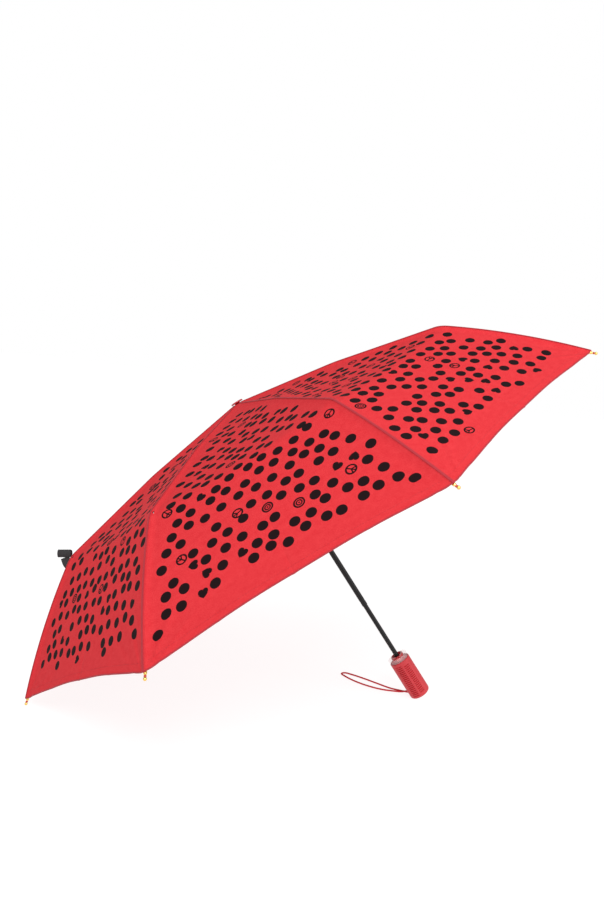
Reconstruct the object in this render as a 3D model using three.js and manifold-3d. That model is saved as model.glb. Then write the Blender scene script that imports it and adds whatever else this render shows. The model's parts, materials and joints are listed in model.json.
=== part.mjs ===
// Compact automatic umbrella, eight ribs, three-fold frame, telescoping shaft and wrist cord.
// Millimetres. The umbrella is drawn upright about its own axis (+Z towards the crown, the
// canopy's apex at zero), then laid down on two neighbouring rib tips and the end of its
// handle, the way an open umbrella rests on a floor. The floor is z = 0.
import * as THREE from 'three';
import { mergeVertices } from 'three/addons/utils/BufferGeometryUtils.js';
import Module from 'manifold-3d';

const wasm = await Module();
wasm.setup();

// ---- driving dimensions ---------------------------------------------------------------
const ribCount = 8;
const ribStep = (2 * Math.PI) / ribCount;

// canopy profile above one rib, as radius and height
const apexHole = { r: 4.8, z: -0.4 };
const firstKnee = { r: 172, z: -26 };
const secondKnee = { r: 335.6, z: -61.7 };
const hemCorner = { r: 489, z: -193.2 };
const outerBow = 5;
const canopyThickness = 1.2;
const panelSag = 6;
const hemHollow = 0.02;
const seamGap = 0.12;

// rib links: centre line pivots, as radius and height
const crownPivot = { r: 10.5, z: -9 };
const firstPivot = { r: 171.3, z: -29.8 };
const secondPivot = { r: 333.8, z: -65.3 };
const ribEnd = { r: 486.9, z: -195.7 };
const linkHeight = 3.2;
const linkThickness = 2;
const laneOffset = 2.4;
const pinHoleRadius = 1;
const pinRadius = 0.7;
const outerRibThickness = 1.6;
const outerRibRootHalf = 1.7;
const outerRibEndHalf = 0.8;

// stretcher: from the runner to a point along the top rib
const stretcherReach = 88;
const stretcherLength = 98;
const runnerPivotRadius = 10.73;

// crown and runner: discs slotted for the links, which hang on a wire ring in a groove
const notch = { radius: 13.5, bore: 5.55, top: -3.8, bottom: -14 };
const notchSlot = { from: 7.2, halfWidth: 1.4, above: 3.2 };
const cap = {
  radius: 10.2, lip: 9.6, face: 9.4, stem: 4.2, stemEnd: -9, seat: 0.4, edge: 1, shoulder: 2.4, top: 3.4,
};
const flange = { radius: 13.4, halfHeight: 4, under: -3, bore: 5.55 };
const sleeve = { radius: 8.6, top: -4, bottom: -12, chamfer: 0.6 };
const runnerSlot = { from: 7.4, left: -3.8, right: -1, below: -2.4, above: 6 };
const crownWire = { radius: 0.55, groove: 0.95 };
const runnerWire = { ring: 11, radius: 0.4, groove: 0.85 };
const slotReach = 15;

// shaft: three tubes, one inside the next
const topTube = { outer: 5.2, inner: 4.65, top: -4.2, bottom: -205 };
const middleTube = { outer: 4.35, inner: 4, top: -189, bottom: -382 };
const lowerTube = { outer: 3.7, inner: 3.1, top: -366, bottom: -545 };

// handle
const handleEnd = -554.4;
const grip = { radius: 16.8, top: -487.5, rounding: 5, bore: 10.9, boreEnd: -538 };
const collar = { radius: 10.5, bore: 4, top: -478.7, bottom: -536.5 };
const rim = { outer: 16.5, inner: 14, spigot: 15, top: -480.7, seat: -487.2, bottom: -491 };
const rimGroove = { inner: 13.7, outer: 15.3, bottom: -491.3 };
const button = { width: 7, height: 5.8, z: -483.4, back: 8.2, front: 11.8 };
const buttonClearance = 0.35;
const springPocket = { radius: 2.3, back: 4.7, front: 8.4 };

// rib tips
const tipBallRadius = 2.1;
const tipBallReach = 7;
const tipCup = { inner: 1.45, outer: 2, depth: 7, floor: 8.2, shoulder: 8.4, neck: 1, neckStart: 10.2 };

// wrist cord and closing strap
const cordRadius = 1.3;
const cordHole = { angle: 150, z: -545, inner: 12, width: 3.4, height: 6.4 };
const strapRoll = { radius: 6.5, core: 1.6, width: 19, band: 1.5, turns: 2.4 };
const strapPlace = { rib: 4, at: [339, -20.2, -53.6], axis: [0.79, -0.31, 0.53] };

// ---- materials ------------------------------------------------------------------------
const paint = (color, roughness, metalness = 0) =>
  new THREE.MeshStandardMaterial({ color, roughness, metalness });
const redFabric = paint(0xd8252f, 0.75);
const blackMetal = paint(0x1d1b1c, 0.4, 0.6);
const steel = paint(0x9a9a9c, 0.35, 0.9);
const blackPlastic = paint(0x161616, 0.5);
const redRubber = paint(0xe0303a, 0.55);
const redGloss = paint(0xb5121f, 0.2);
const gold = paint(0xd9a441, 0.3, 0.9);
const clearPlastic = paint(0xf2eef0, 0.1);
const redCord = paint(0xc4202c, 0.7);
const blackWebbing = paint(0x141414, 0.85);

// ---- solid helpers --------------------------------------------------------------------
function signedVolume(position, index) {
  let volume = 0;
  for (let i = 0; i < index.length; i += 3) {
    const [a, b, c] = [0, 1, 2].map((k) => new THREE.Vector3().fromArray(position, 3 * index[i + k]));
    volume += a.dot(b.cross(c)) / 6;
  }
  return volume;
}

// merges the shared vertices of a closed geometry and returns it as a solid, faces out
function solid(geometry) {
  const bare = geometry.clone();
  bare.deleteAttribute('normal');
  bare.deleteAttribute('uv');
  const merged = mergeVertices(bare, 1e-4);
  const position = merged.attributes.position.array;
  const index = [];
  for (let i = 0; i < merged.index.count; i += 3) {
    const [a, b, c] = merged.index.array.slice(i, i + 3);
    if (a !== b && b !== c && c !== a) index.push(a, b, c);
  }
  if (signedVolume(position, index) < 0) index.reverse();
  return new wasm.Manifold(
    new wasm.Mesh({
      numProp: 3,
      vertProperties: Float32Array.from(position),
      triVerts: Uint32Array.from(index),
    }),
  );
}

function geometryOf(manifold) {
  const mesh = manifold.getMesh();
  const geometry = new THREE.BufferGeometry();
  geometry.setAttribute('position', new THREE.BufferAttribute(Float32Array.from(mesh.vertProperties), 3));
  geometry.setIndex(Array.from(mesh.triVerts));
  return geometry;
}

function cut(body, ...tools) {
  return geometryOf(tools.reduce((left, tool) => left.subtract(solid(tool)), solid(body)));
}

function join(...parts) {
  return geometryOf(parts.map(solid).reduce((whole, part) => whole.add(part)));
}

function tidy(geometry) {
  return geometryOf(solid(geometry));
}

// a turned piece about Z from [radius, height] pairs that form a closed outline or meet the axis
function turned(outline, segments) {
  const points = outline.map(([r, z]) => new THREE.Vector2(r, z));
  return new THREE.LatheGeometry(points, segments).rotateX(Math.PI / 2);
}

function tube(outer, inner, top, bottom, segments = 16) {
  return turned([[outer, bottom], [outer, top], [inner, top], [inner, bottom], [outer, bottom]], segments);
}

// a box by its lowest and highest corners
function block(low, high) {
  const size = high.map((value, axis) => value - low[axis]);
  return new THREE.BoxGeometry(...size).translate(...low.map((value, axis) => value + size[axis] / 2));
}

// a round pin along Y between two places
function pin(x, z, radius, from, to, segments = 10) {
  return new THREE.CylinderGeometry(radius, radius, to - from, segments).translate(x, (from + to) / 2, z);
}

// an outline in the rib's plane, given its thickness across that plane
function plate(shape, thickness, offset, curveSegments = 4) {
  const options = { depth: thickness, bevelEnabled: false, curveSegments };
  return new THREE.ExtrudeGeometry(shape, options)
    .translate(0, 0, -thickness / 2)
    .rotateX(Math.PI / 2)
    .translate(0, offset, 0);
}

// a flat bar with round ends along +X from its root, its height tapering and its line bowed up
function barShape(length, rootHalf, endHalf, bow = 0) {
  const shape = new THREE.Shape();
  const middle = (rootHalf + endHalf) / 2;
  shape.absarc(0, 0, rootHalf, Math.PI / 2, Math.PI * 1.5);
  shape.quadraticCurveTo(length / 2, 2 * bow - middle, length, -endHalf);
  shape.absarc(length, 0, endHalf, -Math.PI / 2, Math.PI / 2);
  shape.quadraticCurveTo(length / 2, 2 * bow + middle, 0, rootHalf);
  return shape;
}

function pinHole(shape, x) {
  const hole = new THREE.Path();
  hole.absarc(x, 0, pinHoleRadius, 0, 2 * Math.PI, true);
  shape.holes.push(hole);
}

// ---- geometry of one rib --------------------------------------------------------------
const span = (a, b) => Math.hypot(b.r - a.r, b.z - a.z);
const slope = (a, b) => Math.atan2(a.z - b.z, b.r - a.r);

const topLength = span(crownPivot, firstPivot);
const topSlope = slope(crownPivot, firstPivot);
const middleLength = span(firstPivot, secondPivot);
const middleSlope = slope(firstPivot, secondPivot);
const outerLength = span(secondPivot, ribEnd);
const outerSlope = slope(secondPivot, ribEnd);

const stretcherEnd = {
  r: crownPivot.r + stretcherReach * Math.cos(topSlope),
  z: crownPivot.z - stretcherReach * Math.sin(topSlope),
};
const stretcherRise = Math.sqrt(stretcherLength ** 2 - (stretcherEnd.r - runnerPivotRadius) ** 2);
const runnerPivot = { r: runnerPivotRadius, z: stretcherEnd.z - stretcherRise };
const stretcherSlope = slope(runnerPivot, stretcherEnd);

function topRibGeometry() {
  const shape = barShape(topLength, linkHeight / 2, linkHeight / 2);
  pinHole(shape, 0);
  pinHole(shape, topLength);
  return tidy(plate(shape, linkThickness, 0));
}

function middleRibGeometry() {
  const shape = barShape(middleLength, linkHeight / 2, linkHeight / 2);
  const bar = plate(shape, linkThickness, laneOffset);
  const inside = -linkThickness / 2 - 0.2;
  const pins = [0, middleLength].map((x) => pin(x, 0, pinRadius, inside, laneOffset));
  return join(bar, ...pins);
}

function outerRibGeometry() {
  const shape = barShape(outerLength, outerRibRootHalf, outerRibEndHalf, outerBow / 2);
  pinHole(shape, 0);
  return tidy(plate(shape, outerRibThickness, 0));
}

function stretcherGeometry() {
  const shape = barShape(stretcherLength, linkHeight / 2, linkHeight / 2);
  pinHole(shape, 0);
  const bar = plate(shape, linkThickness, -laneOffset);
  const outside = -laneOffset - linkThickness / 2;
  return join(bar, pin(stretcherLength, 0, 1.9, outside - 0.6, outside + 0.5, 12));
}

// gold rib tip: a cup over the rib's end, a neck and a ball, turned about its own axis
function tipGeometry() {
  const { inner, outer, depth, floor, shoulder, neck, neckStart } = tipCup;
  const ballCentre = depth + tipBallReach;
  const outline = [[inner, 0], [outer, 0], [outer, shoulder], [neck, neckStart]];
  const arcSteps = 4;
  for (let step = 0; step < arcSteps; step += 1) {
    const angle = Math.PI * (0.15 + 0.85 * (step / arcSteps));
    outline.push([tipBallRadius * Math.sin(angle), ballCentre - tipBallRadius * Math.cos(angle)]);
  }
  outline.push([0, ballCentre + tipBallRadius], [0, floor], [inner, floor], [inner, 0]);
  return tidy(turned(outline, 8).rotateY(Math.PI / 2).translate(-depth, 0, 0));
}

// ---- canopy ---------------------------------------------------------------------------
// height and radius of the cloth above a rib, for t from 0 at the apex to 1 at the hem
function ribLine(t) {
  const stops = [0, 0.34, 0.67, 1];
  const corners = [apexHole, firstKnee, secondKnee, hemCorner];
  const leg = t < stops[1] ? 0 : t < stops[2] ? 1 : 2;
  const part = (t - stops[leg]) / (stops[leg + 1] - stops[leg]);
  const from = corners[leg];
  const to = corners[leg + 1];
  const bow = leg === 2 ? 4 * outerBow * part * (1 - part) : 0;
  const down = slope(from, to);
  return {
    r: from.r + (to.r - from.r) * part + bow * Math.sin(down),
    z: from.z + (to.z - from.z) * part + bow * Math.cos(down),
  };
}

// a point of the cloth between two ribs; q runs from -1 on one rib to +1 on the next
function clothPoint(t, rib, q) {
  const hollow = 1 - q * q;
  const line = ribLine(t * (1 - hemHollow * hollow * t ** 3));
  const share = (q + 1) / 2;
  const from = ribAngle(rib);
  const to = from + ribStep;
  const x = line.r * ((1 - share) * Math.cos(from) + share * Math.cos(to));
  const y = line.r * ((1 - share) * Math.sin(from) + share * Math.sin(to));
  return new THREE.Vector3(x, y, line.z - panelSag * hollow * Math.sin(Math.PI * Math.min(t, 0.85)));
}

// a quarter of the cover, two panels sewn along the middle rib, a hair short of its outer seams
function canopyQuarterGeometry(firstRib) {
  const stops = [0, 0.12, 0.34, 0.5, 0.67, 0.75, 0.83, 0.91, 1];
  const across = 4;
  const columns = 2 * across + 1;
  const position = [];
  for (const drop of [0, canopyThickness]) {
    for (const t of stops) {
      const short = seamGap / ribLine(t).r;
      for (let column = 0; column < columns; column += 1) {
        const panel = column < across ? 0 : 1;
        let q = (2 * (column - panel * across)) / across - 1;
        if (column === 0) q += short;
        if (column === columns - 1) q -= short;
        const point = clothPoint(t, firstRib + panel, q);
        position.push(point.x, point.y, point.z - drop);
      }
    }
  }
  const index = [];
  const layer = stops.length * columns;
  const quad = (a, b, c, d) => index.push(a, b, c, a, c, d);
  const last = columns - 1;
  for (let ring = 0; ring < stops.length - 1; ring += 1) {
    const inner = ring * columns;
    const outer = inner + columns;
    for (let column = 0; column < last; column += 1) {
      const next = column + 1;
      quad(inner + column, outer + column, outer + next, inner + next);
      quad(layer + inner + next, layer + outer + next, layer + outer + column, layer + inner + column);
    }
    quad(inner, layer + inner, layer + outer, outer);
    quad(outer + last, layer + outer + last, layer + inner + last, inner + last);
  }
  const hem = (stops.length - 1) * columns;
  for (let column = 0; column < last; column += 1) {
    quad(hem + column, layer + hem + column, layer + hem + column + 1, hem + column + 1);
    quad(column + 1, layer + column + 1, layer + column, column);
  }
  const geometry = new THREE.BufferGeometry();
  geometry.setAttribute('position', new THREE.Float32BufferAttribute(position, 3));
  geometry.setIndex(index);
  return tidy(geometry);
}

// ---- crown and runner -----------------------------------------------------------------
function ringWire(radius, wire, z) {
  return new THREE.TorusGeometry(radius, wire, 5, 24).translate(0, 0, z);
}

function slots(low, high) {
  return Array.from({ length: ribCount }, (_, rib) => block(low, high).rotateZ(ribAngle(rib)));
}

function crownNotchGeometry() {
  const { radius, bore, top, bottom } = notch;
  const { from, halfWidth, above } = notchSlot;
  const groove = ringWire(crownPivot.r, crownWire.groove, crownPivot.z);
  const cutters = slots([from, -halfWidth, bottom - 1], [slotReach, halfWidth, crownPivot.z + above]);
  return cut(tube(radius, bore, top, bottom, 32), groove, ...cutters);
}

function topCapGeometry() {
  const { radius, lip, face, stem, stemEnd, seat, edge, shoulder, top } = cap;
  return tidy(turned([
    [0, stemEnd], [stem, stemEnd], [stem, seat], [lip, seat],
    [radius, edge], [radius, shoulder], [face, top], [0, top],
  ], 24));
}

function runnerGeometry() {
  const { z } = runnerPivot;
  const { radius, halfHeight, under, bore } = flange;
  const foot = z + sleeve.bottom;
  const outline = [
    [bore, foot], [sleeve.radius - sleeve.chamfer, foot], [sleeve.radius, foot + sleeve.chamfer],
    [sleeve.radius, z + sleeve.top], [radius, z + under], [radius, z + halfHeight],
    [bore, z + halfHeight], [bore, foot],
  ];
  const groove = ringWire(runnerWire.ring, runnerWire.groove, z);
  const { from, left, right, below, above } = runnerSlot;
  return cut(turned(outline, 32), groove, ...slots([from, left, z + below], [slotReach, right, z + above]));
}

// ---- handle ---------------------------------------------------------------------------
function gripGeometry() {
  const { radius, top, rounding, bore, boreEnd } = grip;
  const outline = [[0, handleEnd], [radius - rounding, handleEnd]];
  for (let step = 1; step <= 4; step += 1) {
    const angle = (Math.PI / 2) * (step / 4);
    outline.push([
      radius - rounding + rounding * Math.sin(angle),
      handleEnd + rounding - rounding * Math.cos(angle),
    ]);
  }
  outline.push([radius, top], [rimGroove.outer, top], [rimGroove.outer, rimGroove.bottom]);
  outline.push([rimGroove.inner, rimGroove.bottom], [rimGroove.inner, top], [bore, top]);
  outline.push([bore, boreEnd], [4.1, boreEnd], [4.1, lowerTube.bottom - 0.6], [0, lowerTube.bottom - 0.6]);
  const { inner, width, height, angle, z } = cordHole;
  const hole = block([inner, -width / 2, z - height / 2], [20, width / 2, z + height / 2])
    .rotateZ(THREE.MathUtils.degToRad(angle));
  return cut(turned(outline, 24), hole);
}

function collarGeometry() {
  const { radius, bore, top, bottom } = collar;
  const outline = [
    [bore, bottom], [radius, bottom], [radius, top - 1.2], [radius - 1.2, top], [bore, top], [bore, bottom],
  ];
  const halfWidth = button.width / 2 + buttonClearance;
  const halfHeight = button.height / 2 + buttonClearance;
  const window = block(
    [button.back - 1.8, -halfWidth, button.z - halfHeight],
    [12, halfWidth, button.z + halfHeight],
  );
  const { radius: pocketRadius, back, front } = springPocket;
  const pocket = new THREE.CylinderGeometry(pocketRadius, pocketRadius, front - back, 12)
    .rotateZ(Math.PI / 2)
    .translate((back + front) / 2, 0, button.z);
  return cut(turned(outline, 28), window.rotateZ(buttonAngle), pocket.rotateZ(buttonAngle));
}

function rimGeometry() {
  const { outer, inner, spigot, top, seat, bottom } = rim;
  return tidy(turned([
    [inner, bottom], [spigot, bottom], [spigot, seat], [outer, seat],
    [outer, top], [inner, top], [inner, bottom],
  ], 32));
}

function buttonGeometry() {
  const { width, height, z, back, front } = button;
  const corner = 1;
  const shape = new THREE.Shape();
  shape.absarc(width / 2 - corner, height / 2 - corner, corner, 0, Math.PI / 2);
  shape.absarc(corner - width / 2, height / 2 - corner, corner, Math.PI / 2, Math.PI);
  shape.absarc(corner - width / 2, corner - height / 2, corner, Math.PI, Math.PI * 1.5);
  shape.absarc(width / 2 - corner, corner - height / 2, corner, Math.PI * 1.5, Math.PI * 2);
  return tidy(new THREE.ExtrudeGeometry(shape, { depth: front - back, bevelEnabled: false, curveSegments: 3 })
    .rotateX(Math.PI / 2)
    .rotateZ(Math.PI / 2)
    .translate(back, 0, z));
}

class Helix extends THREE.Curve {
  constructor(radius, rise, turns) {
    super();
    Object.assign(this, { radius, rise, turns });
  }

  getPoint(t, target = new THREE.Vector3()) {
    const angle = 2 * Math.PI * this.turns * t;
    return target.set(this.rise * t, this.radius * Math.cos(angle), this.radius * Math.sin(angle));
  }
}

function springGeometry() {
  const wire = new THREE.Shape();
  wire.absarc(0, 0, 0.22, 0, 2 * Math.PI);
  const path = new Helix(1.6, 2.2, 3);
  const options = { steps: 30, curveSegments: 3, bevelEnabled: false, extrudePath: path };
  const coil = new THREE.ExtrudeGeometry(wire, options);
  return tidy(coil.translate(5.3, 0, button.z));
}

// ---- strap and cord -------------------------------------------------------------------
// the strap is rolled up: a thick spiral band seen from its end
function strapGeometry() {
  const { radius, core, width, band, turns } = strapRoll;
  const steps = 34;
  const outside = [];
  const inside = [];
  for (let step = 0; step <= steps; step += 1) {
    const angle = 2 * Math.PI * turns * (step / steps);
    const reach = core + band + (radius - core - band) * (step / steps);
    outside.push(new THREE.Vector2(reach * Math.cos(angle), reach * Math.sin(angle)));
    inside.push(new THREE.Vector2((reach - band) * Math.cos(angle), (reach - band) * Math.sin(angle)));
  }
  const shape = new THREE.Shape([...outside, ...inside.reverse()]);
  const roll = new THREE.ExtrudeGeometry(shape, { depth: width, bevelEnabled: false });
  return tidy(roll.translate(0, 0, -width / 2));
}

// the loop lies on the floor beside the handle; both ends go into the handle's hole
function cordGeometry(ends) {
  const floor = cordRadius + 0.1;
  const path = new THREE.CatmullRomCurve3([
    ...ends[0],
    new THREE.Vector3(317, 14.5, floor + 0.4),
    new THREE.Vector3(303, 14, floor),
    new THREE.Vector3(284, 15, floor),
    new THREE.Vector3(262, 23, floor),
    new THREE.Vector3(241, 37, floor),
    new THREE.Vector3(225, 54, floor),
    new THREE.Vector3(219, 65, floor),
    new THREE.Vector3(225, 70, floor),
    new THREE.Vector3(238, 65, floor),
    new THREE.Vector3(258, 53, floor),
    new THREE.Vector3(279, 38, floor),
    new THREE.Vector3(299, 24.5, floor),
    new THREE.Vector3(314, 18.2, floor + 0.6),
    ...ends[1],
  ], false, 'centripetal');
  const section = new THREE.Shape();
  section.absarc(0, 0, cordRadius, 0, 2 * Math.PI);
  return tidy(new THREE.ExtrudeGeometry(section, {
    steps: 46, curveSegments: 4, bevelEnabled: false, extrudePath: path,
  }));
}

// ---- assembly -------------------------------------------------------------------------
function ribAngle(rib) {
  return ribStep * (rib + 0.5);
}

const buttonAngle = THREE.MathUtils.degToRad(270);

function piece(name, geometry, material) {
  const mesh = new THREE.Mesh(geometry, material);
  mesh.name = name;
  return mesh;
}

const umbrella = new THREE.Group();
const upright = new THREE.Group();
umbrella.add(upright);

const parts = {
  topRib: topRibGeometry(),
  middleRib: middleRibGeometry(),
  outerRib: outerRibGeometry(),
  stretcher: stretcherGeometry(),
  tip: tipGeometry(),
};

for (let rib = 0; rib < ribCount; rib += 1) {
  const frame = new THREE.Group();
  frame.rotation.z = ribAngle(rib);
  const number = rib + 1;
  const place = (name, geometry, material, at, down) => {
    const mesh = piece(`${name}_${number}`, geometry, material);
    mesh.position.set(at.r, 0, at.z);
    mesh.rotation.y = down;
    frame.add(mesh);
  };
  place('top_rib', parts.topRib, blackMetal, crownPivot, topSlope);
  place('middle_rib', parts.middleRib, blackMetal, firstPivot, middleSlope);
  place('outer_rib', parts.outerRib, steel, secondPivot, outerSlope);
  place('stretcher', parts.stretcher, blackMetal, runnerPivot, stretcherSlope);
  place('rib_tip', parts.tip, gold, ribEnd, outerSlope);
  upright.add(frame);
}

for (let quarter = 0; quarter < 4; quarter += 1) {
  upright.add(piece(`canopy_quarter_${quarter + 1}`, canopyQuarterGeometry(2 * quarter), redFabric));
}
upright.add(piece('crown_notch', crownNotchGeometry(), blackPlastic));
upright.add(piece('crown_wire', tidy(ringWire(crownPivot.r, crownWire.radius, crownPivot.z)), steel));
upright.add(piece('top_cap', topCapGeometry(), redGloss));
upright.add(piece('runner', runnerGeometry(), blackPlastic));
upright.add(piece('runner_wire', tidy(ringWire(runnerWire.ring, runnerWire.radius, runnerPivot.z)), steel));
for (const [name, { outer, inner, top, bottom }] of Object.entries({
  top_tube: topTube, middle_tube: middleTube, lower_tube: lowerTube,
})) {
  upright.add(piece(name, tidy(tube(outer, inner, top, bottom)), blackMetal));
}
upright.add(piece('grip', gripGeometry(), redRubber));
upright.add(piece('collar', collarGeometry(), redGloss));
upright.add(piece('clear_rim', rimGeometry(), clearPlastic));
for (const [name, geometry, material] of [
  ['release_button', buttonGeometry(), redGloss],
  ['button_spring', springGeometry(), steel],
]) {
  const mesh = piece(name, geometry, material);
  mesh.rotation.z = buttonAngle;
  upright.add(mesh);
}

// the strap's roll sits by the second knee of one rib, its width pointing outwards
const strap = piece('closing_strap', strapGeometry(), blackWebbing);
const strapFrame = new THREE.Group();
strapFrame.rotation.z = ribAngle(strapPlace.rib);
strap.position.set(...strapPlace.at);
const strapAxis = new THREE.Vector3(...strapPlace.axis).normalize();
strap.quaternion.setFromUnitVectors(new THREE.Vector3(0, 0, 1), strapAxis);
strapFrame.add(strap);
upright.add(strapFrame);

// lean: the line that touches the balls of the two lowest tips and the grip's rounded end
const ballAxis = {
  r: (ribEnd.r + tipBallReach * Math.cos(outerSlope)) * Math.cos(ribStep / 2),
  z: ribEnd.z - tipBallReach * Math.sin(outerSlope),
};
const gripEdge = { r: grip.radius - grip.rounding, z: handleEnd + grip.rounding };
const restSpan = span(ballAxis, gripEdge);
const restSlope = Math.atan2(gripEdge.z - ballAxis.z, gripEdge.r - ballAxis.r);
const restLine = restSlope + Math.asin((grip.rounding - tipBallRadius) / restSpan);
const axisRise = Math.asin(Math.abs(Math.cos(restLine)));
upright.rotation.y = axisRise - Math.PI / 2;
const apexHeight = ballAxis.r * Math.cos(axisRise) - ballAxis.z * Math.sin(axisRise) + tipBallRadius;
upright.position.z = apexHeight;

// both cord ends lie one above the other in the grip's hole
umbrella.updateMatrixWorld(true);
const cordHoleAngle = THREE.MathUtils.degToRad(cordHole.angle);
const cordEndRadii = [grip.radius + 1.5, grip.radius - 1, cordHole.inner + 0.4];
const cordEnds = [1.6, -1.6].map((shift) => cordEndRadii.map((r) => upright.localToWorld(
  new THREE.Vector3(r * Math.cos(cordHoleAngle), r * Math.sin(cordHoleAngle), cordHole.z + shift),
)));
umbrella.add(piece('wrist_cord', cordGeometry([cordEnds[0].reverse(), cordEnds[1]]), redCord));

// the origin is the middle of the footprint, on the floor
const bounds = new THREE.Box3().setFromObject(umbrella, true);
const centre = bounds.getCenter(new THREE.Vector3());
umbrella.children.forEach((child) => {
  child.position.x -= centre.x;
  child.position.y -= centre.y;
  child.position.z -= bounds.min.z;
});

export default umbrella;
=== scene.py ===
# %% [markdown]
# # An open folding umbrella
#
# The umbrella lies open on a floor. It rests on the balls of two rib tips and on the end of its
# grip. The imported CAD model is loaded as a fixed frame: it says where every hinge, tube and rib
# is, and this file dresses it in cloth, lacquer, rubber, gilding and thread.

# %% Load the frame
import json
import math

import bmesh
import bpy
import numpy as np
from mathutils import Matrix, Vector


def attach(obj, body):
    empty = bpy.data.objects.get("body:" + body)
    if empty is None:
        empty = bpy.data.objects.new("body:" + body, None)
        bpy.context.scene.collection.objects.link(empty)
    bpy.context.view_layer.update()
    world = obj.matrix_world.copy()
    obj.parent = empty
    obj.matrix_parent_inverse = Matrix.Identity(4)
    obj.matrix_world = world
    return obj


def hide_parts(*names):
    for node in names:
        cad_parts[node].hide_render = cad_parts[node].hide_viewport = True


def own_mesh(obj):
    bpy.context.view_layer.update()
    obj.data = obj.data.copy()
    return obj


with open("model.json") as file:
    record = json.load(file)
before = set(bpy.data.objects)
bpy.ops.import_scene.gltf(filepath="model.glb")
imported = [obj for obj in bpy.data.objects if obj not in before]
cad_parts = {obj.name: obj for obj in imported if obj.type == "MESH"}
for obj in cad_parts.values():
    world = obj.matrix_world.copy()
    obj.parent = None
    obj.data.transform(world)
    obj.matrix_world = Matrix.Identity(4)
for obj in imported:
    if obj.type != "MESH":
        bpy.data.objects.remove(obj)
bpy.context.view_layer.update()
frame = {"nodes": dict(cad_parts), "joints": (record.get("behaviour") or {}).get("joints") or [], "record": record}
joints = {joint["name"]: joint for joint in frame["joints"]}
mounts = {mount["name"]: mount for mount in frame["record"]["mounts"]}

# %% [markdown]
# ## Two ways to say where something is
#
# An umbrella is far easier to draw upright, about its own shaft, than lying down. So pieces are
# drawn in millimetres with the apex of the canopy at zero and +Z towards the crown, and one
# matrix lays them down where the frame has them. A second matrix, one for each rib, puts +X
# outwards along that rib. Both come from the frame's own joints and mounts.

# %% The umbrella's own axes
MM = 0.001
CAP_TOP = 3.4
RIBS = 8
RIB_STEP = 2 * math.pi / RIBS

shaft = Vector(joints["canopy_fold"]["axis"]).normalized()
across = Vector((0, 1, 0))
outward = across.cross(shaft)
apex = Vector(mounts["crown_top"]["pos_m"]) - shaft * CAP_TOP * MM

umbrella = Matrix.Translation(apex) @ Matrix((outward, across, shaft)).transposed().to_4x4()
umbrella = umbrella @ Matrix.Scale(MM, 4)


def rib_angle(rib):
    return RIB_STEP * (rib - 0.5)


def rib_frame(rib):
    return umbrella @ Matrix.Rotation(rib_angle(rib), 4, "Z")


print("apex", [round(x, 4) for x in apex], "lean", round(math.degrees(math.asin(shaft.z)), 1))

# %% [markdown]
# ## The camera
#
# The camera stands low and to the side, a little above the canopy's apex, and it is turned a few
# degrees about its own line of sight. A camera that is placed by turning it by hand is hard to
# repeat, so it is built from four plain values: where it stands, which way it faces, how far it
# looks down and how far it rolls.

# %% Place the camera
EYE = Vector((-0.0085, -1.2411, 0.4953))
FACING = math.radians(0.3)
LOOKS_DOWN = math.radians(5.5)
ROLL = math.radians(6.5)
LENS = 31.36


def aim(facing, down, roll):
    """The turn of a camera that faces +Y, then turns left by facing, looks down and rolls."""
    ahead = Vector((-math.sin(facing), math.cos(facing), -math.tan(down))).normalized()
    right = ahead.cross(Vector((0, 0, 1))).normalized()
    above = right.cross(ahead)
    rolled = right * math.cos(roll) + above * math.sin(roll)
    return Matrix((rolled, rolled.cross(ahead), -ahead)).transposed().to_4x4()


camera_data = bpy.data.cameras.new("camera")
camera_data.lens = LENS
camera_data.clip_start, camera_data.clip_end = 0.05, 60
camera = bpy.data.objects.new("camera", camera_data)
camera.matrix_world = Matrix.Translation(EYE) @ aim(FACING, LOOKS_DOWN, ROLL)
bpy.context.collection.objects.link(camera)
bpy.context.scene.camera = camera
print("camera", [round(x, 3) for x in camera.location])

# %% [markdown]
# ## Words for nodes
#
# A node tree written out in full is mostly typing. This small class adds a node with its
# settings, feeds a socket with either a number or another socket, and has one short call for
# arithmetic. Both shader trees and geometry trees are built with it.


# %% A short way to build node trees
class Tree:
    def __init__(self, tree):
        self.tree = tree

    def feed(self, socket, value):
        if isinstance(value, bpy.types.NodeSocket):
            self.tree.links.new(value, socket)
        else:
            socket.default_value = value

    def add(self, kind, settings=None, **inputs):
        node = self.tree.nodes.new(kind)
        for name, value in (settings or {}).items():
            setattr(node, name, value)
        for name, value in inputs.items():
            self.feed(node.inputs[name.replace("_", " ")], value)
        return node

    def math(self, operation, *values):
        node = self.tree.nodes.new("ShaderNodeMath")
        node.operation = operation
        for socket, value in zip(node.inputs, values):
            self.feed(socket, value)
        return node.outputs[0]

    def total(self, *values):
        result = values[0]
        for value in values[1:]:
            result = self.math("ADD", result, value)
        return result

    def product(self, *values):
        result = values[0]
        for value in values[1:]:
            result = self.math("MULTIPLY", result, value)
        return result


def new_group(name, kind, inputs, outputs):
    """An empty node group with named sockets, given as (name, socket type, default)."""
    group = bpy.data.node_groups.new(name, kind)
    for label, socket_type, default in inputs:
        socket = group.interface.new_socket(label, in_out="INPUT", socket_type=socket_type)
        if default is not None:
            socket.default_value = default
    for label, socket_type in outputs:
        group.interface.new_socket(label, in_out="OUTPUT", socket_type=socket_type)
    tree = Tree(group)
    return tree, tree.add("NodeGroupInput"), tree.add("NodeGroupOutput")


# %% [markdown]
# ## Effects that several finishes share
#
# No real surface is one even colour. *Mottle* is two sizes of noise added together, and every
# finish here uses it to vary its colour, gloss and height a little. *Weave* is the over and under
# of plain cloth: two waves at right angles, one for the threads each way. It serves the canopy
# and the strap, each at its own thread count.

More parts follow.
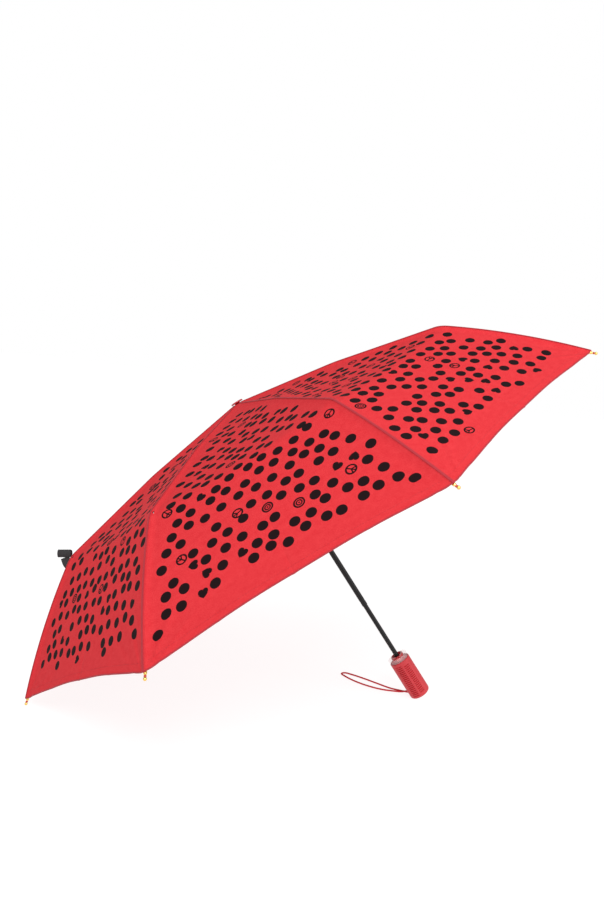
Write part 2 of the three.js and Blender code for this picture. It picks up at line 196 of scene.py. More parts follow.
# %% The mottle group
mottle, given, result = new_group(
    "mottle",
    "ShaderNodeTree",
    [("Vector", "NodeSocketVector", None), ("Scale", "NodeSocketFloat", 500.0)],
    [("Value", "NodeSocketFloat")],
)
broad = mottle.add("ShaderNodeTexNoise", Vector=given.outputs["Vector"], Detail=2.0)
mottle.feed(broad.inputs["Scale"], mottle.product(given.outputs["Scale"], 0.12))
fine = mottle.add("ShaderNodeTexNoise", Vector=given.outputs["Vector"], Detail=3.0)
mottle.feed(fine.inputs["Scale"], given.outputs["Scale"])
mixed = mottle.total(
    mottle.product(broad.outputs[0], 0.2), mottle.product(fine.outputs[0], 0.8)
)
mottle.feed(result.inputs["Value"], mixed)

# %% The weave group
weave, given, result = new_group(
    "weave",
    "ShaderNodeTree",
    [("Vector", "NodeSocketVector", None), ("Threads", "NodeSocketFloat", 3.0)],
    [("Height", "NodeSocketFloat")],
)
parts = weave.add("ShaderNodeSeparateXYZ", Vector=given.outputs["Vector"])
turn = weave.product(given.outputs["Threads"], math.pi)
warp = weave.math("SINE", weave.product(parts.outputs[0], turn))
weft = weave.math("SINE", weave.product(parts.outputs[1], turn))
over = weave.product(warp, weft)
weave.feed(result.inputs["Height"], weave.total(weave.product(over, 0.5), 0.5))

# %% [markdown]
# ## Plain finishes
#
# Lacquer, steel, gilding, rubber and moulded plastic differ in colour, gloss and how rough they
# feel, and hardly at all in how they are built. So one function makes them all from the mottle
# group. What is the same all over a surface, such as the gloss of a clear coat, is set on the
# shader itself.


# %% Make a finish
def place_group(tree, group, **inputs):
    return tree.add("ShaderNodeGroup", {"node_tree": group.tree}, **inputs)


def varied(tree, value, low, high):
    return tree.add("ShaderNodeMapRange", Value=value, To_Min=low, To_Max=high).outputs[0]


def colour_between(tree, share, first, second):
    node = tree.tree.nodes.new("ShaderNodeMix")
    node.data_type = "RGBA"
    tree.feed(node.inputs[0], share)
    for socket, colour in ((node.inputs[6], first), (node.inputs[7], second)):
        if isinstance(colour, bpy.types.NodeSocket):
            tree.feed(socket, colour)
        else:
            socket.default_value = (*colour, 1)
    return node.outputs[2]


def new_material(name, **fixed):
    """A material, its tree and its Principled shader, with what is even all over set on it."""
    material = bpy.data.materials.new(name)
    material.use_nodes = True
    tree = Tree(material.node_tree)
    shader = material.node_tree.nodes["Principled BSDF"]
    for label, value in fixed.items():
        shader.inputs[label.replace("_", " ")].default_value = value
    return material, tree, shader


def finish(name, colour, roughness, grain=900.0, change=0.12, relief=0.02, **fixed):
    """A finish whose colour and gloss vary by change, and whose grain stands relief mm high."""
    material, tree, shader = new_material(name, **fixed)
    where = tree.add("ShaderNodeTexCoord").outputs["Object"]
    spots = place_group(tree, mottle, Vector=where, Scale=grain).outputs[0]
    shades = [[min(1.0, c * (1 + sign * change)) for c in colour] for sign in (-1, 1)]
    tree.feed(shader.inputs["Base Color"], colour_between(tree, spots, *shades))
    gloss = varied(tree, spots, roughness * (1 - change), roughness * (1 + change))
    tree.feed(shader.inputs["Roughness"], gloss)
    if relief:
        bump = tree.add("ShaderNodeBump", Height=spots, Strength=0.6, Distance=relief * MM)
        tree.feed(shader.inputs["Normal"], bump.outputs[0])
    return material


black_metal = finish(
    "black_lacquer", (0.006, 0.0055, 0.006), 0.42, 700, 0.2, 0.01, Specular_IOR_Level=0.3
)
steel = finish("bright_steel", (0.55, 0.55, 0.57), 0.28, 1500, 0.1, 0.01, Metallic=1.0)
black_plastic = finish("black_moulding", (0.014, 0.014, 0.015), 0.5, 1400, 0.15, 0.03)
red_rubber = finish("red_rubber", (0.5, 0.022, 0.03), 0.55, 1800, 0.07, 0.03)
red_gloss = finish("red_gloss", (0.4, 0.006, 0.014), 0.14, 500, 0.06, 0.004, Coat_Weight=0.6)
button_red = finish("button_red", (0.6, 0.09, 0.085), 0.3, 900, 0.08, 0.02)
gold = finish("gold_plating", (0.86, 0.56, 0.16), 0.22, 1200, 0.1, 0.01, Metallic=1.0)
red_thread = finish("red_thread", (0.5, 0.012, 0.022), 0.75, 2500, 0.2, 0.05)
# A darker red for the hem roll, the seam beads and the stitches: painted shade for the dark lines along the hem
# and the seams.
darker_red_painted_shade = finish("hem_and_seams_painted_shade", (0.34, 0.01, 0.02), 0.7, 2500, 0.15, 0.05)
clear_plastic = finish("clear_moulding", (0.98, 0.84, 0.85), 0.08, 400, 0.03, 0, Alpha=0.14)
print("finishes", len(bpy.data.materials))

# %% [markdown]
# ## Ways to make a mesh
#
# Nearly every hard piece here is turned on a lathe or drawn along a line, so two functions do
# most of the work. *Turned* spins an outline of radius and height. *Drawn* carries a section
# along a path. A real turned edge is never knife sharp, and it is the rounded edge that catches
# the light, so *eased* rounds the corners of an outline first.


# %% Turn points and faces into a piece
def piece(name, points, faces, place, material, crease=35.0):
    """A closed mesh in the row frame from points in mm, smooth apart from its sharp edges."""
    matrix = np.array(place)
    spots = np.asarray(points, float) @ matrix[:3, :3].T + matrix[:3, 3]
    mesh = bpy.data.meshes.new(name)
    mesh.from_pydata(spots.tolist(), [], [list(face) for face in faces])
    shell = bmesh.new()
    shell.from_mesh(mesh)
    bmesh.ops.recalc_face_normals(shell, faces=shell.faces)
    shell.to_mesh(mesh)
    shell.free()
    mesh.shade_smooth()
    mesh.set_sharp_from_angle(angle=math.radians(crease))
    mesh.materials.append(material)
    thing = bpy.data.objects.new(name, mesh)
    bpy.context.collection.objects.link(thing)
    return thing


def eased(outline, radius, steps=3):
    """The outline with each corner but the first and last rounded by about radius."""
    points = [np.array(point, float) for point in outline]
    rounded = [points[0]]
    for before, corner, after in zip(points, points[1:], points[2:]):
        back, on = before - corner, after - corner
        reach = min(radius, 0.45 * np.linalg.norm(back), 0.45 * np.linalg.norm(on))
        start = corner + back / np.linalg.norm(back) * reach
        end = corner + on / np.linalg.norm(on) * reach
        for share in np.linspace(0, 1, steps + 1):
            first = start + (corner - start) * share
            second = corner + (end - corner) * share
            rounded.append(first + (second - first) * share)
    return [*rounded, points[-1]]


def turned(outline, segments=96):
    """Points and faces of an outline spun about Z. It closes on itself or ends on the axis."""
    closed = np.allclose(outline[0], outline[-1])
    rows = outline[:-1] if closed else outline
    points, rings = [], []
    for radius, height in rows:
        if radius < 1e-6:
            rings.append([len(points)] * segments)
            points.append((0, 0, height))
            continue
        rings.append(list(range(len(points), len(points) + segments)))
        for step in range(segments):
            angle = 2 * math.pi * step / segments
            points.append((radius * math.cos(angle), radius * math.sin(angle), height))
    pairs = list(zip(rings, rings[1:]))
    if closed:
        pairs.append((rings[-1], rings[0]))
    faces = []
    for low, high in pairs:
        for step in range(segments):
            after = (step + 1) % segments
            corners = (low[step], low[after], high[after], high[step])
            faces.append(tuple(dict.fromkeys(corners)))
    return points, [face for face in faces if len(face) > 2]


def carried(path, side=None):
    """Two directions across a path at each of its points, turned as little as possible."""
    ahead = np.gradient(path, axis=0)
    ahead /= np.linalg.norm(ahead, axis=1)[:, None]
    start = np.array(side if side is not None else (0, 0, 1), float)
    if abs(ahead[0] @ start) > 0.95:
        start = np.array((1.0, 0, 0))
    sides = []
    for direction in ahead:
        start = start - direction * (start @ direction)
        start /= np.linalg.norm(start)
        sides.append(start)
    sides = np.array(sides)
    return sides, np.cross(ahead, sides)


def drawn(path, sections, side=None):
    """Points and faces of a section, one for all or one for each point, along an open path."""
    path = np.asarray(path, float)
    first, second = carried(path, side)
    sections = np.asarray(sections, float)
    if sections.ndim == 2:
        sections = np.repeat(sections[None], len(path), axis=0)
    count = sections.shape[1]
    points = (
        path[:, None]
        + sections[..., :1] * first[:, None]
        + sections[..., 1:] * second[:, None]
    ).reshape(-1, 3)
    faces = [
        (
            row * count + k,
            row * count + (k + 1) % count,
            (row + 1) * count + (k + 1) % count,
            (row + 1) * count + k,
        )
        for row in range(len(path) - 1)
        for k in range(count)
    ]
    last = (len(path) - 1) * count
    faces.append(tuple(range(count - 1, -1, -1)))
    faces.append(tuple(last + k for k in range(count)))
    return points, faces


def ellipse(half_first, half_second, sides):
    angles = 2 * np.pi * np.arange(sides) / sides
    return np.stack([half_first * np.cos(angles), half_second * np.sin(angles)], axis=1)


def dress(thing, body, slot_name, *nodes):
    """Ride a body and stand in for CAD nodes. The slot_name argument is not used."""
    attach(thing, body)
    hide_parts(*nodes)


# %% [markdown]
# ## The wrist cord
#
# A braided cord leaves a slot near the bottom of the grip, runs along the floor in one loop and
# goes back into the same slot. A curve with a bevel would give a plain tube. Real braid has a
# relief that shows at its edge, so the cord is a mesh tube whose surface swells where the
# strands cross, and it is told the line that it follows. The route is listed point by point: a
# soft loop that lies flat, with both runs side by side near the handle.

# %% The cord's route
CORD_RADIUS = 1.3
CORD_SLOT_ANGLE = math.radians(150)
CORD_SLOT_HEIGHT = -545
CORD_ENDS = (12.4, 15.8, 18.3)
CORD_APART = 1.6
CORD_ON_FLOOR = [
    (0.1923, 0.0145, 0.0021),
    (0.1783, 0.0140, 0.0017),
    (0.1593, 0.0150, 0.0017),
    (0.1373, 0.0230, 0.0017),
    (0.1163, 0.0370, 0.0017),
    (0.1003, 0.0540, 0.0017),
    (0.0943, 0.0650, 0.0017),
    (0.1003, 0.0700, 0.0017),
    (0.1133, 0.0650, 0.0017),
    (0.1333, 0.0530, 0.0017),
    (0.1543, 0.0380, 0.0017),
    (0.1743, 0.0245, 0.0017),
    (0.1893, 0.0182, 0.0023),
]


def slot_points(shift):
    """Where one end of the cord passes the slot, from inside the grip outwards."""
    reach = (math.cos(CORD_SLOT_ANGLE), math.sin(CORD_SLOT_ANGLE))
    height = CORD_SLOT_HEIGHT + shift
    return [umbrella @ Vector((r * reach[0], r * reach[1], height)) for r in CORD_ENDS]


def through(points, step):
    """A smooth line through points, as evenly spaced points about step apart."""
    spots = [np.array(point, float) for point in points]
    spots = [2 * spots[0] - spots[1], *spots, 2 * spots[-1] - spots[-2]]
    line = []
    for a, b, c, d in zip(spots, spots[1:], spots[2:], spots[3:]):
        t0 = 0.0
        t1 = t0 + np.linalg.norm(b - a) ** 0.5
        t2 = t1 + np.linalg.norm(c - b) ** 0.5
        t3 = t2 + np.linalg.norm(d - c) ** 0.5
        for t in np.linspace(t1, t2, 24, endpoint=False):
            ab = a + (b - a) * (t - t0) / (t1 - t0)
            bc = b + (c - b) * (t - t1) / (t2 - t1)
            cd = c + (d - c) * (t - t2) / (t3 - t2)
            abc = ab + (bc - ab) * (t - t0) / (t2 - t0)
            bcd = bc + (cd - bc) * (t - t1) / (t3 - t1)
            line.append(abc + (bcd - abc) * (t - t1) / (t2 - t1))
    line = np.array([*line, spots[-2]])
    along = np.concatenate([[0], np.cumsum(np.linalg.norm(np.diff(line, axis=0), axis=1))])
    places = np.linspace(0, along[-1], int(along[-1] / step) + 1)
    return np.stack([np.interp(places, along, line[:, k]) for k in range(3)], axis=1), along[-1]


cord_line, cord_length = through(
    [*slot_points(CORD_APART), *CORD_ON_FLOOR, *reversed(slot_points(-CORD_APART))], 0.45 * MM
)
print("cord", round(cord_length * 1000), "mm,", len(cord_line), "rings")

# %% The braid of the cord
BRAID_SIDES = 24
BRAID_RISE = 5.5
BRAID_HEIGHT = 0.13


def braid_sections(count):
    """Round sections whose surface swells in two crossing sets of strands."""
    angles = 2 * np.pi * np.arange(BRAID_SIDES) / BRAID_SIDES
    turns = np.arange(count)[:, None] * 0.45 / BRAID_RISE * 2 * np.pi
    left = np.abs(np.sin(2 * (angles[None] + turns)))
    right = np.abs(np.sin(2 * (angles[None] - turns)))
    radius = CORD_RADIUS - BRAID_HEIGHT + BRAID_HEIGHT * np.maximum(left, right)
    return np.stack([radius * np.cos(angles), radius * np.sin(angles)], axis=2)


wrist_cord = piece(
    "wrist_cord_braid",
    *drawn(cord_line / MM, braid_sections(len(cord_line))),
    Matrix.Scale(MM, 4),
    red_thread,
    crease=60,
)
dress(wrist_cord, "handle", "red_cord", "wrist_cord")

# %% [markdown]
# ## The cut of the canopy
#
# The canopy is eight cloth panels sewn along the ribs, drawn down at eight points. Seen from the
# side each rib makes three legs: nearly flat, a little steeper, then the long bend down to the
# tip. A cloth simulation could drape it, but a stretched canopy is settled by its ribs and its
# cut, so a formula gives the same shape without waiting. The formula takes how far down the
# panel a point is, and how far across, and the cloth follows it in small steps.

# %% The line of the cloth above a rib
APEX_HOLE = (4.8, -0.4)
FIRST_KNEE = (172.0, -26.0)
SECOND_KNEE = (335.6, -61.7)
HEM_CORNER = (489.0, -193.2)
LEGS = (0.0, 0.34, 0.67, 1.0)
OUTER_BOW = 5.0
KNEE_EASE = 0.016
PANEL_SAG = 6.0
HEM_HOLLOW = 0.02
SEAM_DIP = 5.2
SEAM_REACH = 5.5

corners = np.array([APEX_HOLE, FIRST_KNEE, SECOND_KNEE, HEM_CORNER])


def sharp_line(t):
    """Radius and height above a rib, with the knees as corners. t is 0 at the apex, 1 at the hem."""
    leg = np.clip(np.searchsorted(LEGS, t, side="right") - 1, 0, 2)
    start, end = corners[leg], corners[leg + 1]
    low, high = np.array(LEGS)[leg], np.array(LEGS)[leg + 1]
    share = ((t - low) / (high - low))[..., None]
    run = end - start
    normal = np.stack([-run[..., 1], run[..., 0]], axis=-1)
    normal /= np.linalg.norm(normal, axis=-1)[..., None]
    bow = np.where(leg == 2, 4 * OUTER_BOW, 0.0)[..., None] * share * (1 - share)
    return start + run * share + normal * bow


def rib_line(t):
    shifts = np.linspace(-KNEE_EASE, KNEE_EASE, 9)
    return sum(sharp_line(t + shift) for shift in shifts) / len(shifts)


LINE_STEPS = 800
stops = np.linspace(0, 1, LINE_STEPS + 1)
line = rib_line(stops)
down = np.concatenate([[0], np.cumsum(np.linalg.norm(np.diff(line, axis=0), axis=1))])
CUT_LENGTH = down[-1]
HALF_CHORD = math.sin(RIB_STEP / 2)
print("panel length", round(CUT_LENGTH), "mm, half width at the hem", round(HEM_CORNER[0] * HALF_CHORD))

# %% [markdown]
# ## Creases and puckers
#
# Cloth that has been folded in a sleeve keeps its fold lines, and cloth that is pulled to a point
# makes folds that fan out from that point. They are under a millimetre high, but they decide how
# the light falls on the panels. Both are added to the shape itself. The waves are sums of sines
# with fixed seeds, so that the panels differ from each other and every run is the same.

# %% The height of the cloth's small folds
rng = np.random.default_rng(11)
panel_phase = rng.uniform(0, 2 * np.pi, (RIBS, 6))
panel_turn = rng.uniform(0.75, 1.25, (RIBS, 6))
PANEL_REACH = 520
KNEE_REACH = 510
TIP_FOLDS = 0.8
TIP_FADE = 95
SEWN_CREASES = ((0.0, 0.5), (0.5, 0.35), (-0.5, 0.35))
CREASE_WIDTH = 2.2
PUCKER_HEIGHT = 0.7
PUCKER_LONG, PUCKER_WIDE, PUCKER_WAVE = 11, 26, 3.4


def small_folds(t, side, panel, to_rib):
    """Millimetres down, for side -1 to 1 across a panel and to_rib mm from the nearer rib."""
    phase, pace = panel_phase[panel], panel_turn[panel]
    hem_part = np.clip((t - 0.62) / 0.38, 0, 1)
    bearing = np.arctan2(to_rib + 1e-6, (1 - t) * PANEL_REACH + 12)
    fan = np.sin(bearing * 17 * pace[0] + phase[0]) + 0.6 * np.sin(bearing * 31 * pace[1] + phase[1])
    near_tip = np.exp(-(((1 - t) * PANEL_REACH + to_rib) / TIP_FADE) ** 1.5)
    folds = TIP_FOLDS * fan * near_tip * np.clip(to_rib / 14, 0, 1) * (1 - 0.8 * hem_part**8)
    for line_at, depth in SEWN_CREASES:
        gap = (side - line_at) * HEM_CORNER[0] * HALF_CHORD * np.maximum(t, 0.02)
        folds = folds + depth * np.exp(-np.abs(gap) / CREASE_WIDTH) * np.clip(t * 3 - 0.3, 0, 1)
    for knee in LEGS[1:3]:
        pucker = np.exp(-(((t - knee) * KNEE_REACH / PUCKER_LONG) ** 2))
        pucker = pucker * np.exp(-((to_rib / PUCKER_WIDE) ** 2)) * np.clip(to_rib / 6, 0, 1)
        folds = folds + PUCKER_HEIGHT * np.sin(to_rib / PUCKER_WAVE + phase[2]) * pucker
    slow = np.sin(side * 4.1 * pace[3] + phase[3] + t * 5) * np.sin(t * 13 * pace[4] + phase[4])
    ripple = np.sin(side * 9 * pace[5] + phase[5]) * hem_part**3
    edge = np.clip(to_rib / 30, 0, 1)
    return folds + (0.5 * slow * t * (1 - hem_part**4) + 0.3 * ripple) * edge


def cloth(t, rib, w):
    """Points in mm, cut coordinates in mm. w is 0 on the rib and 1 at the middle of a panel."""
    beside = np.where(w >= 0, 1.0, -1.0)
    side = w - beside
    hollow = 1 - side * side
    place = rib_line(t * (1 - HEM_HOLLOW * hollow * t**3))
    start = rib_angle(rib)
    near = np.stack([np.full_like(w, math.cos(start)), np.full_like(w, math.sin(start))], -1)
    turn = start + beside * RIB_STEP
    far = np.stack([np.cos(turn), np.sin(turn)], -1)
    part = (np.abs(w) / 2)[..., None]
    flat = place[..., :1] * (near * (1 - part) + far * part)
    to_rib = np.abs(w) * place[..., 0] * HALF_CHORD
    panel = np.where(w >= 0, rib - 1, (rib - 2) % RIBS)
    folds = np.zeros_like(t)
    for one in set(panel.ravel().tolist()):
        folds = np.where(panel == one, small_folds(t, side, one, to_rib), folds)
    dip = SEAM_DIP * (0.25 + 0.75 * t) * (1 - np.exp(-((to_rib / SEAM_REACH) ** 2)))
    dip = dip * np.clip(t * 12, 0, 1) * (1 - 0.75 * np.clip((t - 0.94) / 0.06, 0, 1))
    sag = PANEL_SAG * hollow * np.sin(np.pi * np.minimum(t, 0.85))
    height = place[..., 1] - sag - dip - folds * np.clip(t * 8, 0, 1)
    points = np.concatenate([flat, height[..., None]], -1)
    u = side * place[..., 0] * HALF_CHORD
    v = np.interp(t, stops, down)
    return points, np.stack([u, v], -1)


# %% [markdown]
# ## The print
#
# The cloth is printed in black with scattered dots, hearts and small line-drawn signs, each
# turned its own way. Loose scatter can be made in a shader by cutting the cloth into cells and
# letting a white noise choose, for each cell, what goes in it, how it is turned and how far it
# is moved. Square cells look like tiles, so two sets of cells are laid half a cell apart, which
# sets the motifs out like a honeycomb. One group draws one set and the print group uses it
# twice. A motif whose middle is too near a seam or the hem is left out whole, which leaves a
# plain margin, and some cells stay empty, so that the print isn't too even.

# %% One set of printed motifs
PITCH = 22.6
ROW = PITCH * math.sqrt(3)
WANDER = 9.0
DOT = 6.8
SEAM_MARGIN = 8.5
HEM_MARGIN = 25.0
PANEL_SPACING = 1000.0
LINE = 1.1
# up to where on a scale of 0 to 1 a cell holds a dot, a heart, a sign or rings, and then nothing
DOTS, HEARTS, SIGNS, RINGS = 0.82, 0.89, 0.94, 0.97
HEART_SIZE = 5.6
# how fast a rib's radius grows with the way down the panel, on each of its legs
LEG_SLOPES = (0.9888, 0.977, 0.76)


def inside(tree, value, limit, blur=0.16):
    """1 where value is below limit and 0 above it, with an edge blur mm wide."""
    return tree.add(
        "ShaderNodeMapRange",
        Value=value,
        From_Min=limit - blur / 2,
        From_Max=limit + blur / 2,
        To_Min=1.0,
        To_Max=0.0,
    ).outputs[0]


def between(tree, value, low, high):
    above = tree.math("GREATER_THAN", value, low)
    return tree.math("MULTIPLY", above, tree.math("LESS_THAN", value, high))


cells, given, result = new_group(
    "motif cells",
    "ShaderNodeTree",
    [
        ("Across", "NodeSocketFloat", 0.0),
        ("Down", "NodeSocketFloat", 0.0),
        ("Panel", "NodeSocketFloat", 0.0),
        ("Shift Across", "NodeSocketFloat", 0.0),
        ("Shift Down", "NodeSocketFloat", 0.0),
    ],
    [("Mask", "NodeSocketFloat")],
)
x_at = cells.math("ADD", given.outputs["Across"], given.outputs["Shift Across"])
y_at = cells.math("ADD", given.outputs["Down"], given.outputs["Shift Down"])
column = cells.math("FLOOR", cells.math("DIVIDE", x_at, PITCH))
row = cells.math("FLOOR", cells.math("DIVIDE", y_at, ROW))
cell = cells.add("ShaderNodeCombineXYZ", X=column, Y=row, Z=given.outputs["Panel"]).outputs[0]
cell_moved = cells.add("ShaderNodeVectorMath", {"operation": "ADD"}).outputs[0]
cells.feed(cell_moved.node.inputs[0], cell)
cells.feed(cell_moved.node.inputs[1], given.outputs["Shift Across"])
chance = cells.add("ShaderNodeTexWhiteNoise", Vector=cell_moved)
draws = cells.add("ShaderNodeSeparateColor", Color=chance.outputs["Color"])
centre_x = cells.total(
    cells.product(cells.total(column, 0.5), PITCH),
    cells.product(cells.total(draws.outputs[0], -0.5), WANDER),
)
centre_y = cells.total(
    cells.product(cells.total(row, 0.5), ROW),
    cells.product(cells.total(draws.outputs[1], -0.5), WANDER),
)
off_x = cells.math("SUBTRACT", x_at, centre_x)
off_y = cells.math("SUBTRACT", y_at, centre_y)
spin = cells.product(draws.outputs[2], 2 * math.pi)
cosine, sine = cells.math("COSINE", spin), cells.math("SINE", spin)
x = cells.total(cells.product(off_x, cosine), cells.product(off_y, sine))
y = cells.math("SUBTRACT", cells.product(off_y, cosine), cells.product(off_x, sine))
distance = cells.math("SQRT", cells.total(cells.product(x, x), cells.product(y, y)))

dot = inside(cells, distance, DOT)
ring = inside(cells, cells.math("ABSOLUTE", cells.total(distance, LINE / 2 - DOT)), LINE)
beside = cells.math("ABSOLUTE", x)
mast = inside(cells, beside, LINE * 0.8)
arm_gap = cells.product(cells.math("ABSOLUTE", cells.total(beside, y)), math.sqrt(0.5))
arms = cells.product(inside(cells, arm_gap, LINE * 0.8), cells.math("LESS_THAN", y, 0.0))
spokes = cells.product(cells.math("MAXIMUM", mast, arms), dot)
sign = cells.math("MAXIMUM", ring, spokes)
small_ring = inside(cells, cells.math("ABSOLUTE", cells.total(distance, -DOT * 0.5)), LINE * 0.8)
rings = cells.math("MAXIMUM", cells.math("MAXIMUM", ring, small_ring), inside(cells, distance, 1.2))

heart_x = cells.product(x, 1 / HEART_SIZE)
heart_y = cells.total(cells.product(y, 1 / HEART_SIZE), 0.12)
square = cells.product(heart_x, heart_x)
swell = cells.total(square, cells.product(heart_y, heart_y), -1.0)
lobes = cells.product(square, heart_y, heart_y, heart_y)
heart_gap = cells.math("SUBTRACT", cells.product(swell, swell, swell), lobes)
heart = inside(cells, heart_gap, 0.0, 0.02)

kind = chance.outputs["Value"]
mask = cells.total(
    cells.product(dot, between(cells, kind, -1.0, DOTS)),
    cells.product(heart, between(cells, kind, DOTS, HEARTS)),
    cells.product(sign, between(cells, kind, HEARTS, SIGNS)),
    cells.product(rings, between(cells, kind, SIGNS, RINGS)),
)

# how wide half a panel is where the motif's middle is
middle_down = cells.math("SUBTRACT", centre_y, given.outputs["Shift Down"])
middle_across = cells.math("SUBTRACT", centre_x, given.outputs["Shift Across"])
widths = [
    cells.total(
        cells.product(middle_down, slope), corner[0] - slope * down[round(LINE_STEPS * share)]
    )
    for slope, corner, share in zip(LEG_SLOPES, corners, LEGS)
]
narrowest = cells.math("MINIMUM", cells.math("MINIMUM", widths[0], widths[1]), widths[2])
room = cells.math(
    "SUBTRACT", cells.product(narrowest, HALF_CHORD), cells.math("ABSOLUTE", middle_across)
)
clear_of_seam = cells.math("GREATER_THAN", room, DOT + SEAM_MARGIN)
clear_of_hem = cells.math("LESS_THAN", middle_down, CUT_LENGTH - DOT - HEM_MARGIN)
cells.feed(result.inputs["Mask"], cells.product(mask, clear_of_seam, clear_of_hem))

# %% The print group
printed, given, result = new_group(
    "print",
    "ShaderNodeTree",
    [("Cut", "NodeSocketVector", None)],
    [("Mask", "NodeSocketFloat")],
)
cut = printed.add("ShaderNodeSeparateXYZ", Vector=given.outputs["Cut"])
panel = printed.math("ROUND", printed.product(cut.outputs[0], 1 / PANEL_SPACING))
from_middle = printed.math(
    "SUBTRACT", cut.outputs[0], printed.product(panel, PANEL_SPACING)
)
sets = [
    place_group(
        printed,
        cells,
        Across=from_middle,
        Down=cut.outputs[1],
        Panel=panel,
        Shift_Across=shift,
        Shift_Down=shift * math.sqrt(3),
    ).outputs[0]
    for shift in (0.0, PITCH / 2)
]
printed.feed(result.inputs["Mask"], printed.math("MAXIMUM", *sets))

# %% [markdown]
# ## The cloth's finish
#
# The cloth is thin, tight polyester: matt, with a faint pale sheen where it turns away from the
# eye, and with tiny pale flecks of thread. Its pattern has to follow the cut of each panel, so it
# reads a UV map that holds the place on the flat panel in millimetres. The print shows faintly
# through on the inside, so the inside is the same finish with a weaker print.


# %% Make the cloth
def cloth_finish(name, ink, shade):
    material, tree, shader = new_material(name, Sheen_Weight=0.02, Sheen_Roughness=0.35)
    shader.inputs["Sheen Tint"].default_value = (1.0, 0.62, 0.6, 1)
    shader.inputs["IOR"].default_value = 1.16
    cut = tree.add("ShaderNodeUVMap", {"uv_map": "cut"}).outputs[0]
    mask = place_group(tree, printed, Cut=cut).outputs[0]
    flecks = place_group(tree, mottle, Vector=cut, Scale=1.0).outputs[0]
    threads = place_group(tree, weave, Vector=cut, Threads=2.4).outputs[0]
    flecks_shown = tree.add(
        "ShaderNodeMapRange", Value=flecks, From_Min=0.36, From_Max=0.74
    ).outputs[0]
    red = colour_between(
        tree,
        flecks_shown,
        [c * shade for c in (0.5, 0.017, 0.024)],
        [c * shade for c in (0.66, 0.052, 0.058)],
    )
    inked = tree.product(mask, varied(tree, flecks, ink * 0.985, ink))
    tree.feed(shader.inputs["Base Color"], colour_between(tree, inked, red, (0.006, 0.004, 0.005)))
    dull = tree.total(varied(tree, flecks, 0.84, 0.96), tree.product(mask, -0.1))
    tree.feed(shader.inputs["Roughness"], dull)
    height = tree.total(tree.product(threads, 0.7), tree.product(flecks, 0.5))
    bump = tree.add("ShaderNodeBump", Height=height, Strength=0.5, Distance=0.04 * MM)
    tree.feed(shader.inputs["Normal"], bump.outputs[0])
    return material


red_cloth = cloth_finish("red_cloth", 1.0, 1.0)
red_lining = cloth_finish("red_cloth_inside", 0.3, 0.8)

# %% [markdown]
# ## The panels
#
# The canopy has to fold with its ribs, and a cloth can ride only on stiff bodies. So it is cut
# where a folding umbrella itself breaks: at the two knees, and along the middle of each panel.
# Every piece is then one rib's share of cloth on one leg of that rib. The pieces come from one
# formula, and their normals are worked out from that formula as well, so no cut can be seen
# while the canopy is open.

# %% Weave one piece of canopy
CLOTH_THICKNESS = 0.4
STEPS_ACROSS = 34
LEG_NAMES = ("top", "middle", "outer")
LEG_STEPS = (40, 40, 56)


def across_steps():
    share = np.linspace(0, 1, STEPS_ACROSS + 1) ** 1.55
    return np.concatenate([-share[::-1][:-1], share])


def cloth_normals(t, rib, w):
    """Unit normals by stepping a little way down and across on the same panel."""
    step = 1e-3
    on = np.where(w >= 0, 1.0, -1.0)
    first = np.where(np.abs(w) + step > 1, -step, step) * on
    here = cloth(t, rib, w)[0]
    below = cloth(np.minimum(t + step, 1), rib, w)[0] - cloth(np.maximum(t - step, 0), rib, w)[0]
    aside = (cloth(t, rib, w + first)[0] - here) / np.sign(first)[..., None]
    normal = np.cross(below, aside)
    return normal / np.linalg.norm(normal, axis=-1)[..., None]


def quarters_of(rib):
    panels = ((rib - 2) % RIBS, rib - 1)
    return sorted({f"canopy_quarter_{panel // 2 + 1}" for panel in panels})


def shell_of(rib, leg):
    """One rib's cloth on one leg: its points, their places in the cut and their normals."""
    t = np.linspace(LEGS[leg], LEGS[leg + 1], LEG_STEPS[leg] + 1)
    if leg == 0:
        t = LEGS[1] * np.linspace(0, 1, LEG_STEPS[0] + 1) ** 1.2
    grid_t, grid_w = np.meshgrid(t, across_steps(), indexing="ij")
    points, cut = cloth(grid_t, rib, grid_w)
    left = cloth_normals(grid_t, rib, np.minimum(grid_w, -1e-9))
    right = cloth_normals(grid_t, rib, np.maximum(grid_w, 0.0))
    normals = np.where((grid_w < 0)[..., None], left, right)
    seam = STEPS_ACROSS
    normals[:, seam] = left[:, seam] + right[:, seam]
    normals[:, seam] /= np.linalg.norm(normals[:, seam], axis=-1)[:, None]
    return points, cut, normals


